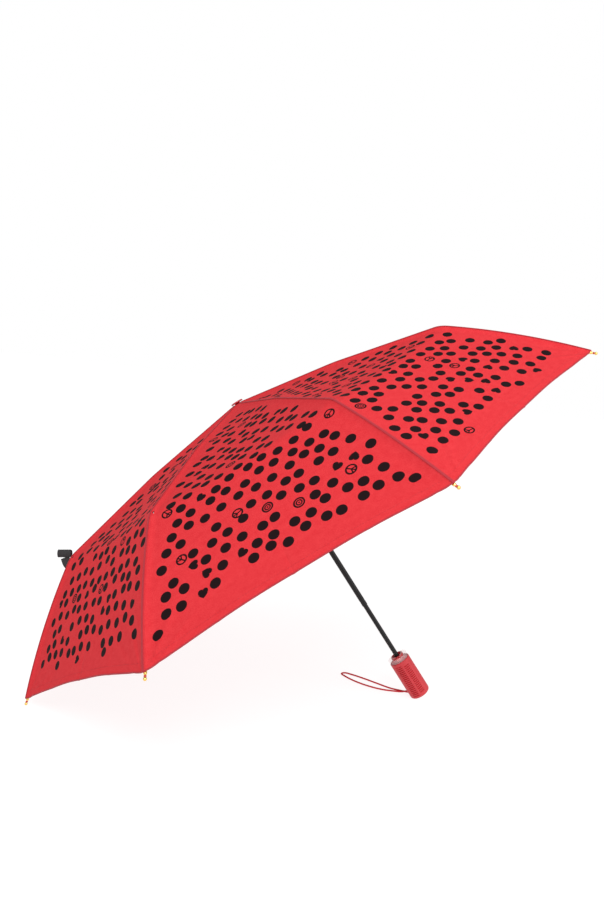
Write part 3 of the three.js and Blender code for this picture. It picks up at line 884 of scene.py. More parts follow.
def weave_piece(rib, leg):
    """One closed piece of cloth with its two finishes, and its width, height and area in metres."""
    points, cut, normals = shell_of(rib, leg)
    rows, columns = points.shape[:2]
    below = points - normals * CLOTH_THICKNESS
    both = np.concatenate([points.reshape(-1, 3), below.reshape(-1, 3)])
    index = np.arange(rows * columns).reshape(rows, columns)
    a, b, c, d = index[:-1, :-1], index[:-1, 1:], index[1:, 1:], index[1:, :-1]
    outer = np.stack([a, d, c, b], -1).reshape(-1, 4)
    shift = rows * columns
    inner = np.stack([a, b, c, d], -1).reshape(-1, 4) + shift
    border = np.concatenate([index[0, :-1], index[:-1, -1], index[-1, :0:-1], index[:0:-1, 0]])
    after = np.roll(border, -1)
    walls = np.stack([border, after, after + shift, border + shift], -1)
    faces = np.concatenate([outer, inner, walls])
    name = f"cloth_{LEG_NAMES[leg]}_{rib}"
    mesh = bpy.data.meshes.new(name)
    matrix = np.array(umbrella)
    mesh.from_pydata((both @ matrix[:3, :3].T + matrix[:3, 3]).tolist(), [], faces.tolist())

    flat = np.concatenate([cut.reshape(-1, 2)] * 2)
    column_of = np.tile(np.tile(np.arange(columns), rows), 2)
    corner = faces.ravel()
    panel = np.repeat((column_of[faces].mean(axis=1) < STEPS_ACROSS).astype(int), 4)
    number = np.where(panel == 1, (rib - 2) % RIBS, rib - 1) + 1
    u = flat[corner, 0]
    on_seam = column_of[corner] == STEPS_ACROSS
    u = np.where(on_seam, np.where(panel == 1, np.abs(u), -np.abs(u)), u)
    places = np.stack([u + number * PANEL_SPACING, flat[corner, 1]], -1)
    layer = mesh.uv_layers.new(name="cut")
    layer.data.foreach_set("uv", places.astype(np.float32).ravel())

    turn = matrix[:3, :3] / MM
    world = normals.reshape(-1, 3) @ turn.T
    split = np.concatenate([world, -world])[corner]
    wall_start = 4 * (len(outer) + len(inner))
    split[wall_start:] = 0
    mesh.shade_smooth()
    mesh.normals_split_custom_set(split.tolist())
    mesh.materials.append(red_cloth)
    mesh.materials.append(red_lining)
    which = np.zeros(len(faces), dtype=np.int32)
    which[len(outer) : len(outer) + len(inner)] = 1
    mesh.polygons.foreach_set("material_index", which)
    thing = bpy.data.objects.new(name, mesh)
    bpy.context.collection.objects.link(thing)
    wide = np.linalg.norm(points[-1, 0] - points[-1, -1]) * MM
    tall = np.linalg.norm(points[0, STEPS_ACROSS] - points[-1, STEPS_ACROSS]) * MM
    first = np.cross(points[1:, :-1] - points[:-1, :-1], points[:-1, 1:] - points[:-1, :-1])
    second = np.cross(points[1:, :-1] - points[1:, 1:], points[:-1, 1:] - points[1:, 1:])
    area = (np.linalg.norm(first, axis=-1).sum() + np.linalg.norm(second, axis=-1).sum()) / 2
    return thing, wide, tall, area * MM**2


def on_rib(thing, rib, leg):
    """Ride one leg of a rib."""
    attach(thing, f"{LEG_NAMES[leg]}_rib_{rib}")
    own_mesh(thing)
    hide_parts(*quarters_of(rib))


# %% Weave the canopy
cloth_area = 0.0
for rib in range(1, RIBS + 1):
    for leg in range(3):
        cloth_piece, wide, tall, area = weave_piece(rib, leg)
        on_rib(cloth_piece, rib, leg)
        cloth_area += area
print("cloth in the canopy", round(cloth_area, 3), "square metres")

# %% [markdown]
# ## Hem, seams and ties
#
# The hem is the cloth's own edge rolled over twice and sewn, so it is a little thicker than the
# panel. The hem, the seam beads and the stitches are a darker red than the panel, which is painted
# shade for the dark lines along the hem and the seams. The roll is a small section drawn along the
# edge. Stitches repeat along a line, which is what Geometry Nodes are for: a tree turns the line
# into a curve, spaces points along it and sets a short grain of thread on each, turned to follow
# the line. The one tree sews the hem and the rib seams. Along each rib a low bead of doubled cloth
# runs between two such rows.

# %% The stitch tree
def rows_tree(name, inputs):
    """A Geometry Nodes tree with a Geometry input and output and the given named inputs."""
    geometry = ("Geometry", "NodeSocketGeometry")
    return new_group(name, "GeometryNodeTree", [(*geometry, None), *inputs], [geometry])


sewing, given, result = rows_tree(
    "stitches along a line",
    [
        ("Spacing", "NodeSocketFloat", 0.003),
        ("Length", "NodeSocketFloat", 0.002),
        ("Thickness", "NodeSocketFloat", 0.0003),
        ("Thread", "NodeSocketMaterial", None),
        ("Seed", "NodeSocketInt", 5),
    ],
)
run = sewing.add("GeometryNodeMeshToCurve", Mesh=given.outputs["Geometry"]).outputs[0]
spaced = sewing.add("GeometryNodeResampleCurve", {"mode": "LENGTH"}, Curve=run)
sewing.feed(spaced.inputs["Length"], given.outputs["Spacing"])
grain_mesh = sewing.add("GeometryNodeMeshUVSphere", Segments=6, Rings=4, Radius=0.5).outputs[0]
tangent = sewing.add("GeometryNodeInputTangent").outputs[0]
heading = sewing.add("FunctionNodeAlignRotationToVector", {"axis": "Z"}, Vector=tangent)
uneven = sewing.add("FunctionNodeRandomValue", {"data_type": "FLOAT"})
uneven.inputs[2].default_value = 0.85
uneven.inputs[3].default_value = 1.1
sewing.feed(uneven.inputs["Seed"], given.outputs["Seed"])
size = sewing.add(
    "ShaderNodeCombineXYZ",
    X=given.outputs["Thickness"],
    Y=given.outputs["Thickness"],
    Z=sewing.product(given.outputs["Length"], uneven.outputs[1]),
)
grains = sewing.add(
    "GeometryNodeInstanceOnPoints",
    Points=spaced.outputs[0],
    Instance=grain_mesh,
    Rotation=heading.outputs[0],
    Scale=size.outputs[0],
)
solid_grains = sewing.add("GeometryNodeRealizeInstances", Geometry=grains.outputs[0])
threaded = sewing.add("GeometryNodeSetMaterial", Geometry=solid_grains.outputs[0])
sewing.feed(threaded.inputs["Material"], given.outputs["Thread"])
sewing.feed(result.inputs[0], threaded.outputs[0])


def grown(name, lines, tree, **inputs):
    """Lines of points in mm put through a tree, and the result as one plain mesh."""
    matrix = np.array(umbrella)
    points, edges = [], []
    for spots in lines:
        start = len(points)
        points.extend((np.asarray(spots) @ matrix[:3, :3].T + matrix[:3, 3]).tolist())
        edges.extend((start + k, start + k + 1) for k in range(len(spots) - 1))
    mesh = bpy.data.meshes.new(name + "_line")
    mesh.from_pydata(points, edges, [])
    source = bpy.data.objects.new(name + "_line", mesh)
    bpy.context.collection.objects.link(source)
    modifier = source.modifiers.new("grow", "NODES")
    modifier.node_group = tree.tree
    named = {item.name: item.identifier for item in tree.tree.interface.items_tree}
    for label, value in inputs.items():
        modifier[named[label]] = value
    bpy.context.view_layer.update()
    depsgraph = bpy.context.evaluated_depsgraph_get()
    result_mesh = bpy.data.meshes.new_from_object(source.evaluated_get(depsgraph))
    result_mesh.name = name
    bpy.data.objects.remove(source)
    result_mesh.shade_smooth()
    thing = bpy.data.objects.new(name, result_mesh)
    bpy.context.collection.objects.link(thing)
    return thing


# %% Sew the hem and the seams
HEM_RADIUS = 0.95
HEM_DEPTH = 9.0
TWIN_SEAM = 2.3
FELL_HALF = 1.5
FELL_HEIGHT = 0.6
hem_share = 1 - HEM_DEPTH / (CUT_LENGTH * 0.95)


def cloth_line(rib, t, w, above):
    """A line on the cloth, lifted off it by above mm."""
    t, w = np.broadcast_arrays(np.asarray(t, float), np.asarray(w, float))
    points, _ = cloth(t, rib, w)
    return points + cloth_normals(t, rib, w) * above


# The hem roll, the seam beads and the stitches all take the darker red, a painted shade along the hem and the
# seams.
for rib in range(1, RIBS + 1):
    halves = [np.linspace(-1, -1e-6, 60), np.linspace(0, 1, 60)]
    edge = np.concatenate([cloth_line(rib, 1.0, half, -0.35) for half in halves])
    roll = ellipse(HEM_RADIUS, HEM_RADIUS * 0.8, 10)
    hem = piece(f"hem_{rib}", *drawn(edge, roll, side=(0, 0, 1)), umbrella, darker_red_painted_shade, crease=60)
    on_rib(hem, rib, 2)

    for leg, name in enumerate(LEG_NAMES):
        t = np.linspace(LEGS[leg], LEGS[leg + 1], 60)[1 if leg == 0 else 0 :]
        fell = cloth_line(rib, t, 0.0, 0.0)
        fell_mesh = drawn(fell, ellipse(FELL_HEIGHT, FELL_HALF, 10), side=(0, 0, 1))
        bead = piece(f"seam_{name}_{rib}", *fell_mesh, umbrella, darker_red_painted_shade, crease=60)
        on_rib(bead, rib, leg)
        reach = rib_line(t)[:, 0] * HALF_CHORD
        rows = [
            cloth_line(rib, t[reach > 8], side * TWIN_SEAM / reach[reach > 8], 0.04)
            for side in (-1, 1)
        ]
        if leg == 2:
            for half in halves:
                inner = half[np.abs(half) > 0.02]
                rows.append(cloth_line(rib, hem_share, inner, 0.04))
        seam = grown(
            f"stitches_{name}_{rib}",
            rows,
            sewing,
            Spacing=3.2 * MM,
            Length=2.3 * MM,
            Thickness=0.34 * MM,
            Thread=darker_red_painted_shade,
            Seed=rib,
        )
        on_rib(seam, rib, leg)
print("sewn", RIBS, "ribs")

# %% [markdown]
# ## The ribs
#
# Each rib is a chain of three steel links and a strut. The two inner links and the strut are
# folded from strip into a channel, and the outer one is a springy wire that bends under the pull
# of the cloth. A channel keeps its section all the way, so its outline is carried along the
# link. The holes would hardly show, but the heads of the rivets that join the links do.

# %% Link outlines
CROWN_PIVOT = (10.5, -9.0)
FIRST_PIVOT = (171.3, -29.8)
SECOND_PIVOT = (333.8, -65.3)
RIB_END = (486.9, -195.7)
RUNNER_PIVOT = (10.73, -65.32)
STRUT_REACH = 88.0
LINK_HALF_HEIGHT = 1.6
LINK_HALF_WIDTH = 1.0
CHANNEL_WALL = 0.42
LANE = 2.4


def along(start, end, reach):
    start, end = np.array(start), np.array(end)
    return start + (end - start) / np.linalg.norm(end - start) * reach


def link_path(start, end, lane, over, count, bow=0.0):
    """A path in a rib's frame from start to end, going over past each by over mm."""
    start, end = np.array(start), np.array(end)
    run = end - start
    length = np.linalg.norm(run)
    share = np.linspace(-over / length, 1 + over / length, count)[:, None]
    normal = np.array([-run[1], run[0]]) / length
    flat = start + run * share + normal * bow * 4 * share * (1 - share)
    return np.stack([flat[:, 0], np.full(count, lane), flat[:, 1]], axis=1)


def channel():
    """A U section, open below, as (up, across) about the link's own line."""
    h, w, wall = LINK_HALF_HEIGHT, LINK_HALF_WIDTH, CHANNEL_WALL
    ease = 0.35
    outside = [(-h, w), (h - ease, w), (h, w - ease), (h, -w + ease), (h - ease, -w), (-h, -w)]
    within = [(-h, -w + wall), (h - wall, -w + wall), (h - wall, w - wall), (-h, w - wall)]
    return np.array(outside + within)


def channel_link(path):
    return drawn(path, channel(), side=(0, 0, 1))


STRUT_END = along(CROWN_PIVOT, FIRST_PIVOT, STRUT_REACH)
links = {
    "top_rib": channel_link(link_path(CROWN_PIVOT, FIRST_PIVOT, 0, 1.5, 24)),
    "middle_rib": channel_link(link_path(FIRST_PIVOT, SECOND_PIVOT, LANE, 0.5, 24)),
    "stretcher": channel_link(link_path(RUNNER_PIVOT, STRUT_END, -LANE, 1.5, 24)),
}
wire_path = link_path(SECOND_PIVOT, RIB_END, 0, 1.2, 60, bow=2.5)
taper = np.linspace(0, 1, 60) ** 0.6
wire_sections = np.stack(
    [ellipse(1.7 - 0.85 * part, 0.8 + 0.02 * part, 14) for part in taper]
)
links["outer_rib"] = drawn(wire_path, wire_sections, side=(0, 0, 1))
link_finish = {"outer_rib": (steel, "steel")}
for rib in range(1, RIBS + 1):
    for kind, mesh in links.items():
        material, slot_name = link_finish.get(kind, (black_metal, "black_metal"))
        link = piece(f"{kind}_bar_{rib}", *mesh, rib_frame(rib), material, crease=40)
        dress(link, f"{kind}_{rib}", slot_name, f"{kind}_{rib}")
print("links", RIBS * len(links))

# %% [markdown]
# ## Rivets and rib tips
#
# A rivet is a short pin with a domed head at each end, the same at every joint of every rib, so
# a second tree sets them on points. It needs only the points and the way the pins run. The gilt
# tips are turned: a cup that grips the wire, a waist and a ball. The cloth is tied to the waist
# with a few turns of thread, a thin round section drawn along a helix.

# %% Set the rivets
riveting, given, result = rows_tree(
    "rivets on points",
    [
        ("Direction", "NodeSocketVector", None),
        ("Radius", "NodeSocketFloat", 0.0013),
        ("Length", "NodeSocketFloat", 0.004),
        ("Metal", "NodeSocketMaterial", None),
    ],
)
head = riveting.add("GeometryNodeMeshUVSphere", Segments=14, Rings=8, Radius=1.0).outputs[0]
pointing = riveting.add(
    "FunctionNodeAlignRotationToVector", {"axis": "Z"}, Vector=given.outputs["Direction"]
)
pin_size = riveting.add(
    "ShaderNodeCombineXYZ",
    X=given.outputs["Radius"],
    Y=given.outputs["Radius"],
    Z=riveting.product(given.outputs["Length"], 0.5),
)
pins = riveting.add(
    "GeometryNodeInstanceOnPoints",
    Points=given.outputs["Geometry"],
    Instance=head,
    Rotation=pointing.outputs[0],
    Scale=pin_size.outputs[0],
)
solid_pins = riveting.add("GeometryNodeRealizeInstances", Geometry=pins.outputs[0])
plated = riveting.add("GeometryNodeSetMaterial", Geometry=solid_pins.outputs[0])
riveting.feed(plated.inputs["Material"], given.outputs["Metal"])
riveting.feed(result.inputs[0], plated.outputs[0])

for rib in range(1, RIBS + 1):
    turn = Matrix.Rotation(rib_angle(rib), 4, "Z")
    spots = {
        "middle_rib": [(FIRST_PIVOT, LANE / 2), (SECOND_PIVOT, LANE / 2)],
        "stretcher": [(STRUT_END, -LANE / 2)],
    }
    for body, places in spots.items():
        points = [[tuple(turn @ Vector((at[0], lane, at[1])))] for at, lane in places]
        rivets = grown(
            f"rivets_{body}_{rib}",
            points,
            riveting,
            Direction=tuple((rib_frame(rib).to_3x3() @ Vector((0, 1, 0))).normalized()),
            Radius=1.25 * MM,
            Length=5.6 * MM,
            Metal=steel,
        )
        dress(rivets, f"{body}_{rib}", "steel", f"{body}_{rib}")

# %% Turn the tips
BALL_REACH = 7.0
BALL_RADIUS = 2.1
CUP_DEPTH = 7.0
cup_outline = eased([(1.0, 0.3), (1.45, 0), (2.0, 0), (2.0, 8.4), (1.05, 10.1)], 0.25)
ball_middle = CUP_DEPTH + BALL_REACH
for step in range(1, 17):
    swing = math.radians(30 + 150 * step / 16)
    cup_outline.append((BALL_RADIUS * math.sin(swing), ball_middle - BALL_RADIUS * math.cos(swing)))
cup_outline[-1] = (0, ball_middle + BALL_RADIUS)
tip_mesh = turned([(0, 0.3), *cup_outline], 40)
tie_turns = np.linspace(0, 5 * 2 * math.pi, 150)
tie_path = np.stack(
    [1.3 * np.cos(tie_turns), 1.3 * np.sin(tie_turns), 10.2 + 0.32 * tie_turns / (2 * math.pi)], 1
)
tie_mesh = drawn(tie_path, ellipse(0.22, 0.22, 6))
wire_slope = math.atan2(SECOND_PIVOT[1] - RIB_END[1], RIB_END[0] - SECOND_PIVOT[0])
for rib in range(1, RIBS + 1):
    place = rib_frame(rib) @ Matrix.Translation((RIB_END[0], 0, RIB_END[1]))
    place = place @ Matrix.Rotation(wire_slope + math.pi / 2, 4, "Y")
    place = place @ Matrix.Translation((0, 0, -CUP_DEPTH))
    for name, mesh, material, slot_name in (
        ("tip", tip_mesh, gold, "gold"),
        ("tie", tie_mesh, red_thread, "red_fabric"),
    ):
        thing = piece(f"{name}_{rib}", *mesh, place, material)
        dress(thing, f"outer_rib_{rib}", slot_name, f"rib_tip_{rib}")

# %% [markdown]
# ## Shaft, crown and runner
#
# The shaft is three thin tubes, one inside the next, and each has a rolled lip where the next one
# comes out. They are turned from an outline of their wall. The crown notch and the runner are
# moulded and slotted for the ribs. Their CAD shapes are right, so a copy of each is merged and
# its edges are rounded, because the CAD mesh itself must stay as it is.

# %% Turn the tubes and the cap
TUBES = {
    "top_tube": (5.2, 4.65, -4.2, -205.0, "crown"),
    "middle_tube": (4.35, 4.0, -189.0, -382.0, "middle_shaft"),
    "lower_tube": (3.7, 3.1, -366.0, -545.0, "handle"),
}
for name, (outer, inner, top, bottom, body) in TUBES.items():
    outline = [
        (inner, bottom),
        (outer, bottom),
        (outer, bottom + 6),
        (outer - 0.18, bottom + 7),
        (outer - 0.18, bottom + 8.2),
        (outer, bottom + 9.2),
        (outer, top),
        (inner, top),
    ]
    wall = eased(outline, 0.2)
    tube = piece(name + "_shell", *turned([*wall, wall[0]], 72), umbrella, black_metal)
    dress(tube, body, "black_metal", name)

cap_outline = [(0, -9), (4.2, -9), (4.2, 0.4), (9.6, 0.4), (10.2, 1.0), (10.2, 2.2)]
cap_outline = eased([*cap_outline, (8.6, 3.1), (4.4, 3.4), (0, 3.4)], 0.7, 5)
cap = piece("top_cap_shell", *turned(cap_outline, 96), umbrella, red_gloss)
dress(cap, "crown", "red_gloss", "top_cap")

# %% Round the moulded parts
def rounded_copy(node, width, material, segments=2):
    """A merged copy of a CAD node with its edges rounded."""
    source = frame["nodes"][node]
    mesh = source.data.copy()
    mesh.transform(source.matrix_world)
    mesh.materials.clear()
    mesh.materials.append(material)
    shell = bmesh.new()
    shell.from_mesh(mesh)
    bmesh.ops.remove_doubles(shell, verts=shell.verts, dist=2e-6)
    bmesh.ops.dissolve_limit(
        shell, angle_limit=math.radians(1), verts=shell.verts, edges=shell.edges
    )
    shell.to_mesh(mesh)
    shell.free()
    mesh.shade_smooth()
    thing = bpy.data.objects.new(node + "_moulding", mesh)
    bpy.context.collection.objects.link(thing)
    bevel = thing.modifiers.new("rounding", "BEVEL")
    bevel.width = width * MM
    bevel.segments = segments
    bevel.limit_method = "ANGLE"
    bevel.angle_limit = math.radians(40)
    bevel.harden_normals = True
    return thing


for node, width, body in (("crown_notch", 0.22, "crown"), ("runner", 0.25, "runner")):
    moulding = rounded_copy(node, width, black_plastic)
    dress(moulding, body, "black_plastic", node)
for node in ("crown_wire", "runner_wire", "button_spring"):
    frame["nodes"][node].data.materials.clear()
    frame["nodes"][node].data.materials.append(steel)

# %% [markdown]
# ## The grip
#
# The grip is soft rubber over a core, with two columns of rounded grooves for the fingers on the
# front and the same on the back. The grooves are far too broad to leave to a bump map: they show
# in the grip's outline. So the grip is turned from a fine outline, and every point of its wall
# is then moved in or out by a rule of where it is. The same rule sinks the hole for the cord.

# %% Turn the grip and press its grooves
HANDLE_END = -554.4
GRIP_RADIUS = 16.8
GRIP_TOP = -487.5
GRIP_ROUND = 5.0
GROOVE_PITCH = 3.25
GROOVE_DEPTH = 1.8
FRONT = math.radians(270)
# each column: from and to in degrees from the front, lowest and highest groove
COLUMNS = ((-46, -3, -550.0, -492.5), (2, 40, -548.5, -494.5))


def soft_step(value, low, high):
    part = np.clip((value - low) / (high - low), 0, 1)
    return part * part * (3 - 2 * part)


def window(value, low, high, blur):
    return soft_step(value, low, low + blur) * (1 - soft_step(value, high - blur, high))


def groove_depth(angle, height):
    """How far the grip's wall is pressed in, in mm."""
    depth = np.zeros_like(angle)
    for face in (FRONT, FRONT - math.pi):
        turn = np.degrees((angle - face + math.pi) % (2 * math.pi) - math.pi)
        for k, (left, right, low, high) in enumerate(COLUMNS):
            wave = 0.5 + 0.5 * np.cos(2 * np.pi * ((height - low) / GROOVE_PITCH - 0.5 + 0.5 * k))
            reach = window(turn, left, right, 7) * window(height, low, high, 1.6)
            depth += GROOVE_DEPTH * soft_step(wave, 0.35, 0.95) * reach
    around = (angle - CORD_SLOT_ANGLE + math.pi) % (2 * math.pi) - math.pi
    slot_at = np.hypot(around * GRIP_RADIUS / 2.1, (height - CORD_SLOT_HEIGHT) / 3.6)
    return depth + 3.4 * (1 - soft_step(slot_at, 0.75, 1.0))


def pressed(mesh, least_radius, low, high, rule):
    """Move the wall outside least_radius, between two heights, inwards by the rule."""
    points, faces = mesh
    points = np.asarray(points, float)
    radius = np.hypot(points[:, 0], points[:, 1])
    angle = np.arctan2(points[:, 1], points[:, 0]) % (2 * math.pi)
    chosen = (radius > least_radius) & (points[:, 2] > low) & (points[:, 2] < high)
    shrink = np.ones(len(points))
    inwards = rule(angle[chosen], points[chosen, 2])
    shrink[chosen] = (radius[chosen] - inwards) / radius[chosen]
    return np.stack([points[:, 0] * shrink, points[:, 1] * shrink, points[:, 2]], 1), faces


grip_outline = [(0, HANDLE_END), (6.0, HANDLE_END)]
for step in range(15):
    swing = math.pi / 2 * step / 14
    grip_outline.append(
        (
            GRIP_RADIUS - GRIP_ROUND + GRIP_ROUND * math.sin(swing),
            HANDLE_END + GRIP_ROUND - GRIP_ROUND * math.cos(swing),
        )
    )
grip_outline += [(GRIP_RADIUS, h) for h in np.linspace(HANDLE_END + 5.3, GRIP_TOP - 0.8, 236)]
grip_outline += [(GRIP_RADIUS - 0.23, GRIP_TOP - 0.23), (GRIP_RADIUS - 0.8, GRIP_TOP)]
grip_outline += [(15.3, GRIP_TOP), (15.3, -491.3), (13.7, -491.3), (13.7, GRIP_TOP)]
grip_outline += [(11.5, GRIP_TOP), (10.9, GRIP_TOP - 0.6), (10.9, -538), (4.1, -538)]
grip_outline += [(4.1, -545.6), (0, -545.6)]
grip_mesh = pressed(turned(grip_outline, 216), 16.5, HANDLE_END, GRIP_TOP, groove_depth)
grip = piece("grip_rubber", *grip_mesh, umbrella, red_rubber, crease=50)
dress(grip, "handle", "red_rubber", "grip")
print("grip", len(grip.data.polygons), "faces")

# %% [markdown]
# ## Rim, collar and button
#
# A clear ring is clipped into the top of the grip, and inside it stands a glossy red cup that
# the shaft goes down into, with the release button in its front. All are moulded. The cup's
# window for the button is pressed into its wall in the same way as the grooves of the grip.

# %% Turn the rim and the cup
rim_outline = [(14.0, -486), (14.0, -491), (15.0, -491), (15.0, -487.2), (16.5, -487.2)]
rim_outline = eased([*rim_outline, (16.4, -480.7), (14.4, -480.7), (14.0, -486)], 0.5, 4)
rim = piece("clear_rim_ring", *turned([*rim_outline[:-1], rim_outline[0]], 120), umbrella, clear_plastic)
dress(rim, "handle", "clear_plastic", "clear_rim")

BUTTON_HEIGHT = -483.4
BUTTON_HALF = (3.5, 2.9)
WINDOW_GAP = 0.35


def button_window(angle, height):
    around = ((angle - FRONT + math.pi) % (2 * math.pi) - math.pi) * 10.5
    wide = np.abs(around) - BUTTON_HALF[0] - WINDOW_GAP
    tall = np.abs(height - BUTTON_HEIGHT) - BUTTON_HALF[1] - WINDOW_GAP
    return 2.1 * (1 - soft_step(np.maximum(wide, tall), -0.25, 0.1))


cup_wall = [(10.5, h) for h in np.linspace(-520, -480.0, 150)]
collar_outline = [(4.0, -500), (4.0, -536.5), (10.5, -536.5), *cup_wall]
collar_outline += [(10.38, -479.2), (9.9, -478.7), (8.5, -478.7), (8.05, -479.0), (7.9, -481.0)]
collar_outline += [(7.7, -481.25), (4.25, -481.25), (4.0, -481.5), (4.0, -500)]
collar_mesh = pressed(turned(collar_outline, 200), 10.3, -490, -479.9, button_window)
collar = piece("collar_cup", *collar_mesh, umbrella, red_gloss, crease=40)
dress(collar, "handle", "red_gloss", "collar")

# %% Shape the button
def rounded_box(half_first, half_second, corner, steps=6):
    spots = []
    for sign_first, sign_second, start in ((1, 1, 0), (-1, 1, 90), (-1, -1, 180), (1, -1, 270)):
        for step in range(steps + 1):
            swing = math.radians(start + 90 * step / steps)
            spots.append(
                (
                    sign_first * (half_first - corner) + corner * math.cos(swing),
                    sign_second * (half_second - corner) + corner * math.sin(swing),
                )
            )
    return np.array(spots)


button_steps = [(10.1, 1.0), (10.9, 1.0), (11.25, 0.985), (11.5, 0.95), (11.7, 0.88), (11.8, 0.78)]
button_path = [(radius, 0, BUTTON_HEIGHT) for radius, _ in button_steps]
face = rounded_box(BUTTON_HALF[1], BUTTON_HALF[0], 1.1)
button_mesh = drawn(button_path, np.stack([face * size for _, size in button_steps]))
button_place = umbrella @ Matrix.Rotation(FRONT, 4, "Z")
button = piece("button_cap", *button_mesh, button_place, button_red)
dress(button, "button", "button_red", "release_button")

# %% [markdown]
# ## The rolled strap
#
# A strap of woven tape holds the umbrella shut, and while it is open the strap is rolled up by
# one rib. The roll is a flat section carried round a spiral, so the turns can be told apart at
# its end, and waves across the tape's width give it a fine ribbing. A tab of the same tape runs
# from the roll down to the cloth.

# %% Roll the strap
STRAP_WIDTH = 19.0
STRAP_TAPE = 1.1
STRAP_CORE = 1.6
STRAP_RADIUS = 6.5
STRAP_TURNS = 2.4
STRAP_STEPS = 150
STRAP_RIB = 5
STRAP_AT = (339, -20.2, -53.6)
STRAP_AXIS = (0.79, -0.31, 0.53)

tape, tree, shader = new_material("woven_tape", Sheen_Weight=0.04)
where = tree.add("ShaderNodeTexCoord").outputs["Object"]
tape_threads = place_group(tree, weave, Vector=where, Threads=900.0).outputs[0]
tape_fuzz = place_group(tree, mottle, Vector=where, Scale=1500.0).outputs[0]
tape_shade = tree.total(tree.product(tape_threads, 0.5), tree.product(tape_fuzz, 0.5))
tree.feed(
    shader.inputs["Base Color"],
    colour_between(tree, tape_shade, (0.008, 0.008, 0.009), (0.035, 0.033, 0.035)),
)
tree.feed(shader.inputs["Roughness"], varied(tree, tape_fuzz, 0.75, 0.95))
tape_bump = tree.add("ShaderNodeBump", Height=tape_shade, Strength=0.7, Distance=0.15 * MM)
tree.feed(shader.inputs["Normal"], tape_bump.outputs[0])

swing = np.linspace(0, 2 * math.pi * STRAP_TURNS, STRAP_STEPS)
middle = STRAP_RADIUS - STRAP_TAPE / 2 - 0.1
reach = STRAP_CORE + STRAP_TAPE / 2 + (middle - STRAP_CORE - STRAP_TAPE / 2) * swing / swing[-1]
spiral = np.stack([reach * np.cos(swing), reach * np.sin(swing), np.zeros_like(swing)], 1)
across_tape = np.linspace(-1, 1, 25)
ribbing = STRAP_TAPE / 2 * (0.9 + 0.1 * np.cos(across_tape * 12 * math.pi))
upper = np.stack([across_tape * STRAP_WIDTH / 2, ribbing], 1)
lower = np.stack([across_tape[::-1] * STRAP_WIDTH / 2, -ribbing[::-1]], 1)
strap_mesh = drawn(spiral, np.concatenate([upper, lower]), side=(0, 0, 1))
strap_turn = Vector((0, 0, 1)).rotation_difference(Vector(STRAP_AXIS)).to_matrix().to_4x4()
strap_place = rib_frame(STRAP_RIB) @ Matrix.Translation(STRAP_AT) @ strap_turn
strap = piece("strap_roll", *strap_mesh, strap_place, tape, crease=50)

# %% Lead the strap's tab down to the cloth
TAB_LANDING = (0.70, 0.715, 0.73, 0.745)
TAB_SIDE = -0.156
landing = [cloth_line(STRAP_RIB, t, TAB_SIDE, 0.7) for t in TAB_LANDING]
to_rib_frame = np.array(Matrix.Rotation(-rib_angle(STRAP_RIB), 3, "Z"))
landing = [to_rib_frame @ spot for spot in landing]
roll_axis = Vector(STRAP_AXIS).normalized()
downwards = Vector((0.3, 0, -1))
downwards = (downwards - roll_axis * downwards.dot(roll_axis)).normalized()
contact = Vector(STRAP_AT) + downwards * (STRAP_RADIUS - STRAP_TAPE / 2)
halfway = (contact + Vector(landing[0])) / 2 + Vector((2.0, 0, -1.0))
tab_path, _ = through([contact, halfway, *landing], 0.8)
tab_side = np.cross(np.array(roll_axis), tab_path[1] - tab_path[0])
tab_mesh = drawn(tab_path, rounded_box(STRAP_TAPE / 2, 6.5, 0.4, 3), side=tab_side)
tab = piece("strap_tab", *tab_mesh, rib_frame(STRAP_RIB), tape, crease=50)

for thing in (strap, tab):
    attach(thing, f"outer_rib_{STRAP_RIB}")
    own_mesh(thing)
    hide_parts("closing_strap")

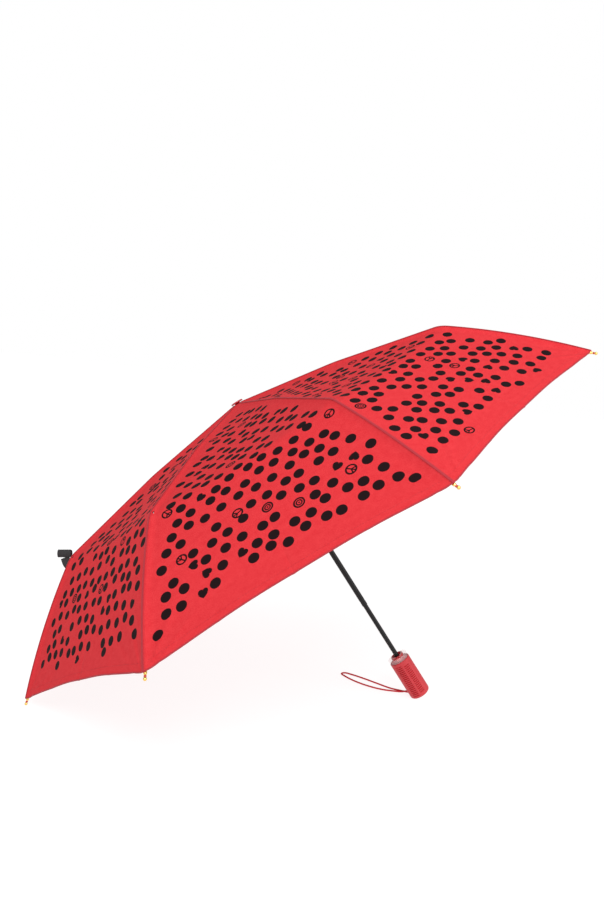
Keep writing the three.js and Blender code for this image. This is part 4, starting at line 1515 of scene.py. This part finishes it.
# %% [markdown]
# ## Floor and light
#
# The umbrella lies on one very large disc. A white floor would take up red from the canopy, so
# this one is grey and glows by itself up to white, and only a faint shadow is left on it. The
# world gives a soft, even light, and where the camera sees it directly it is plain white. One
# large lamp in front and above gives the panels their shape, and a weaker one at the right fills
# in. The view transform is set to Standard, which leaves a strong red as strong as it is.

# %% Lay the floor
floor_finish, tree, shader = new_material("white_floor")
shader.inputs["Specular IOR Level"].default_value = 0.1
shader.inputs["Emission Color"].default_value = (1, 1, 1, 1)
shader.inputs["Emission Strength"].default_value = 0.87
where = tree.add("ShaderNodeTexCoord").outputs["Object"]
paper = place_group(tree, mottle, Vector=where, Scale=300.0).outputs[0]
tree.feed(shader.inputs["Base Color"], colour_between(tree, paper, (0.2,) * 3, (0.24,) * 3))
tree.feed(shader.inputs["Roughness"], varied(tree, paper, 0.85, 0.95))

FLOOR_RADIUS = 40.0
FLOOR_SIDES = 64
floor_mesh = bpy.data.meshes.new("floor")
floor_edge = ellipse(FLOOR_RADIUS, FLOOR_RADIUS, FLOOR_SIDES)
floor_mesh.from_pydata([(x, y, 0) for x, y in floor_edge], [], [tuple(range(FLOOR_SIDES))])
floor_mesh.materials.append(floor_finish)
floor = bpy.data.objects.new("floor", floor_mesh)
bpy.context.collection.objects.link(floor)

# %% Set the lights
SKY_LIGHT = 0.64
world = bpy.data.worlds.new("studio")
world.use_nodes = True
sky = Tree(world.node_tree)
backdrop = world.node_tree.nodes["Background"]
backdrop.inputs["Color"].default_value = (1.0, 1.0, 1.0, 1)
seen = sky.add("ShaderNodeLightPath").outputs["Is Camera Ray"]
sky.feed(backdrop.inputs["Strength"], varied(sky, seen, SKY_LIGHT, 1.0))
bpy.context.scene.world = world
bpy.context.scene.view_settings.view_transform = "Standard"


def lamp(name, place, size, power):
    data = bpy.data.lights.new(name, "AREA")
    data.shape = "DISK"
    data.size = size
    data.energy = power
    thing = bpy.data.objects.new(name, data)
    thing.location = place
    thing.rotation_euler = (Vector((0, 0, 0.25)) - Vector(place)).to_track_quat("-Z", "Y").to_euler()
    bpy.context.collection.objects.link(thing)


# place in metres, width in metres, power in watts
lamp("key", (0.1, -2.6, 2.4), 1.4, 78)
lamp("fill", (2.4, -1.2, 1.6), 2.0, 26)
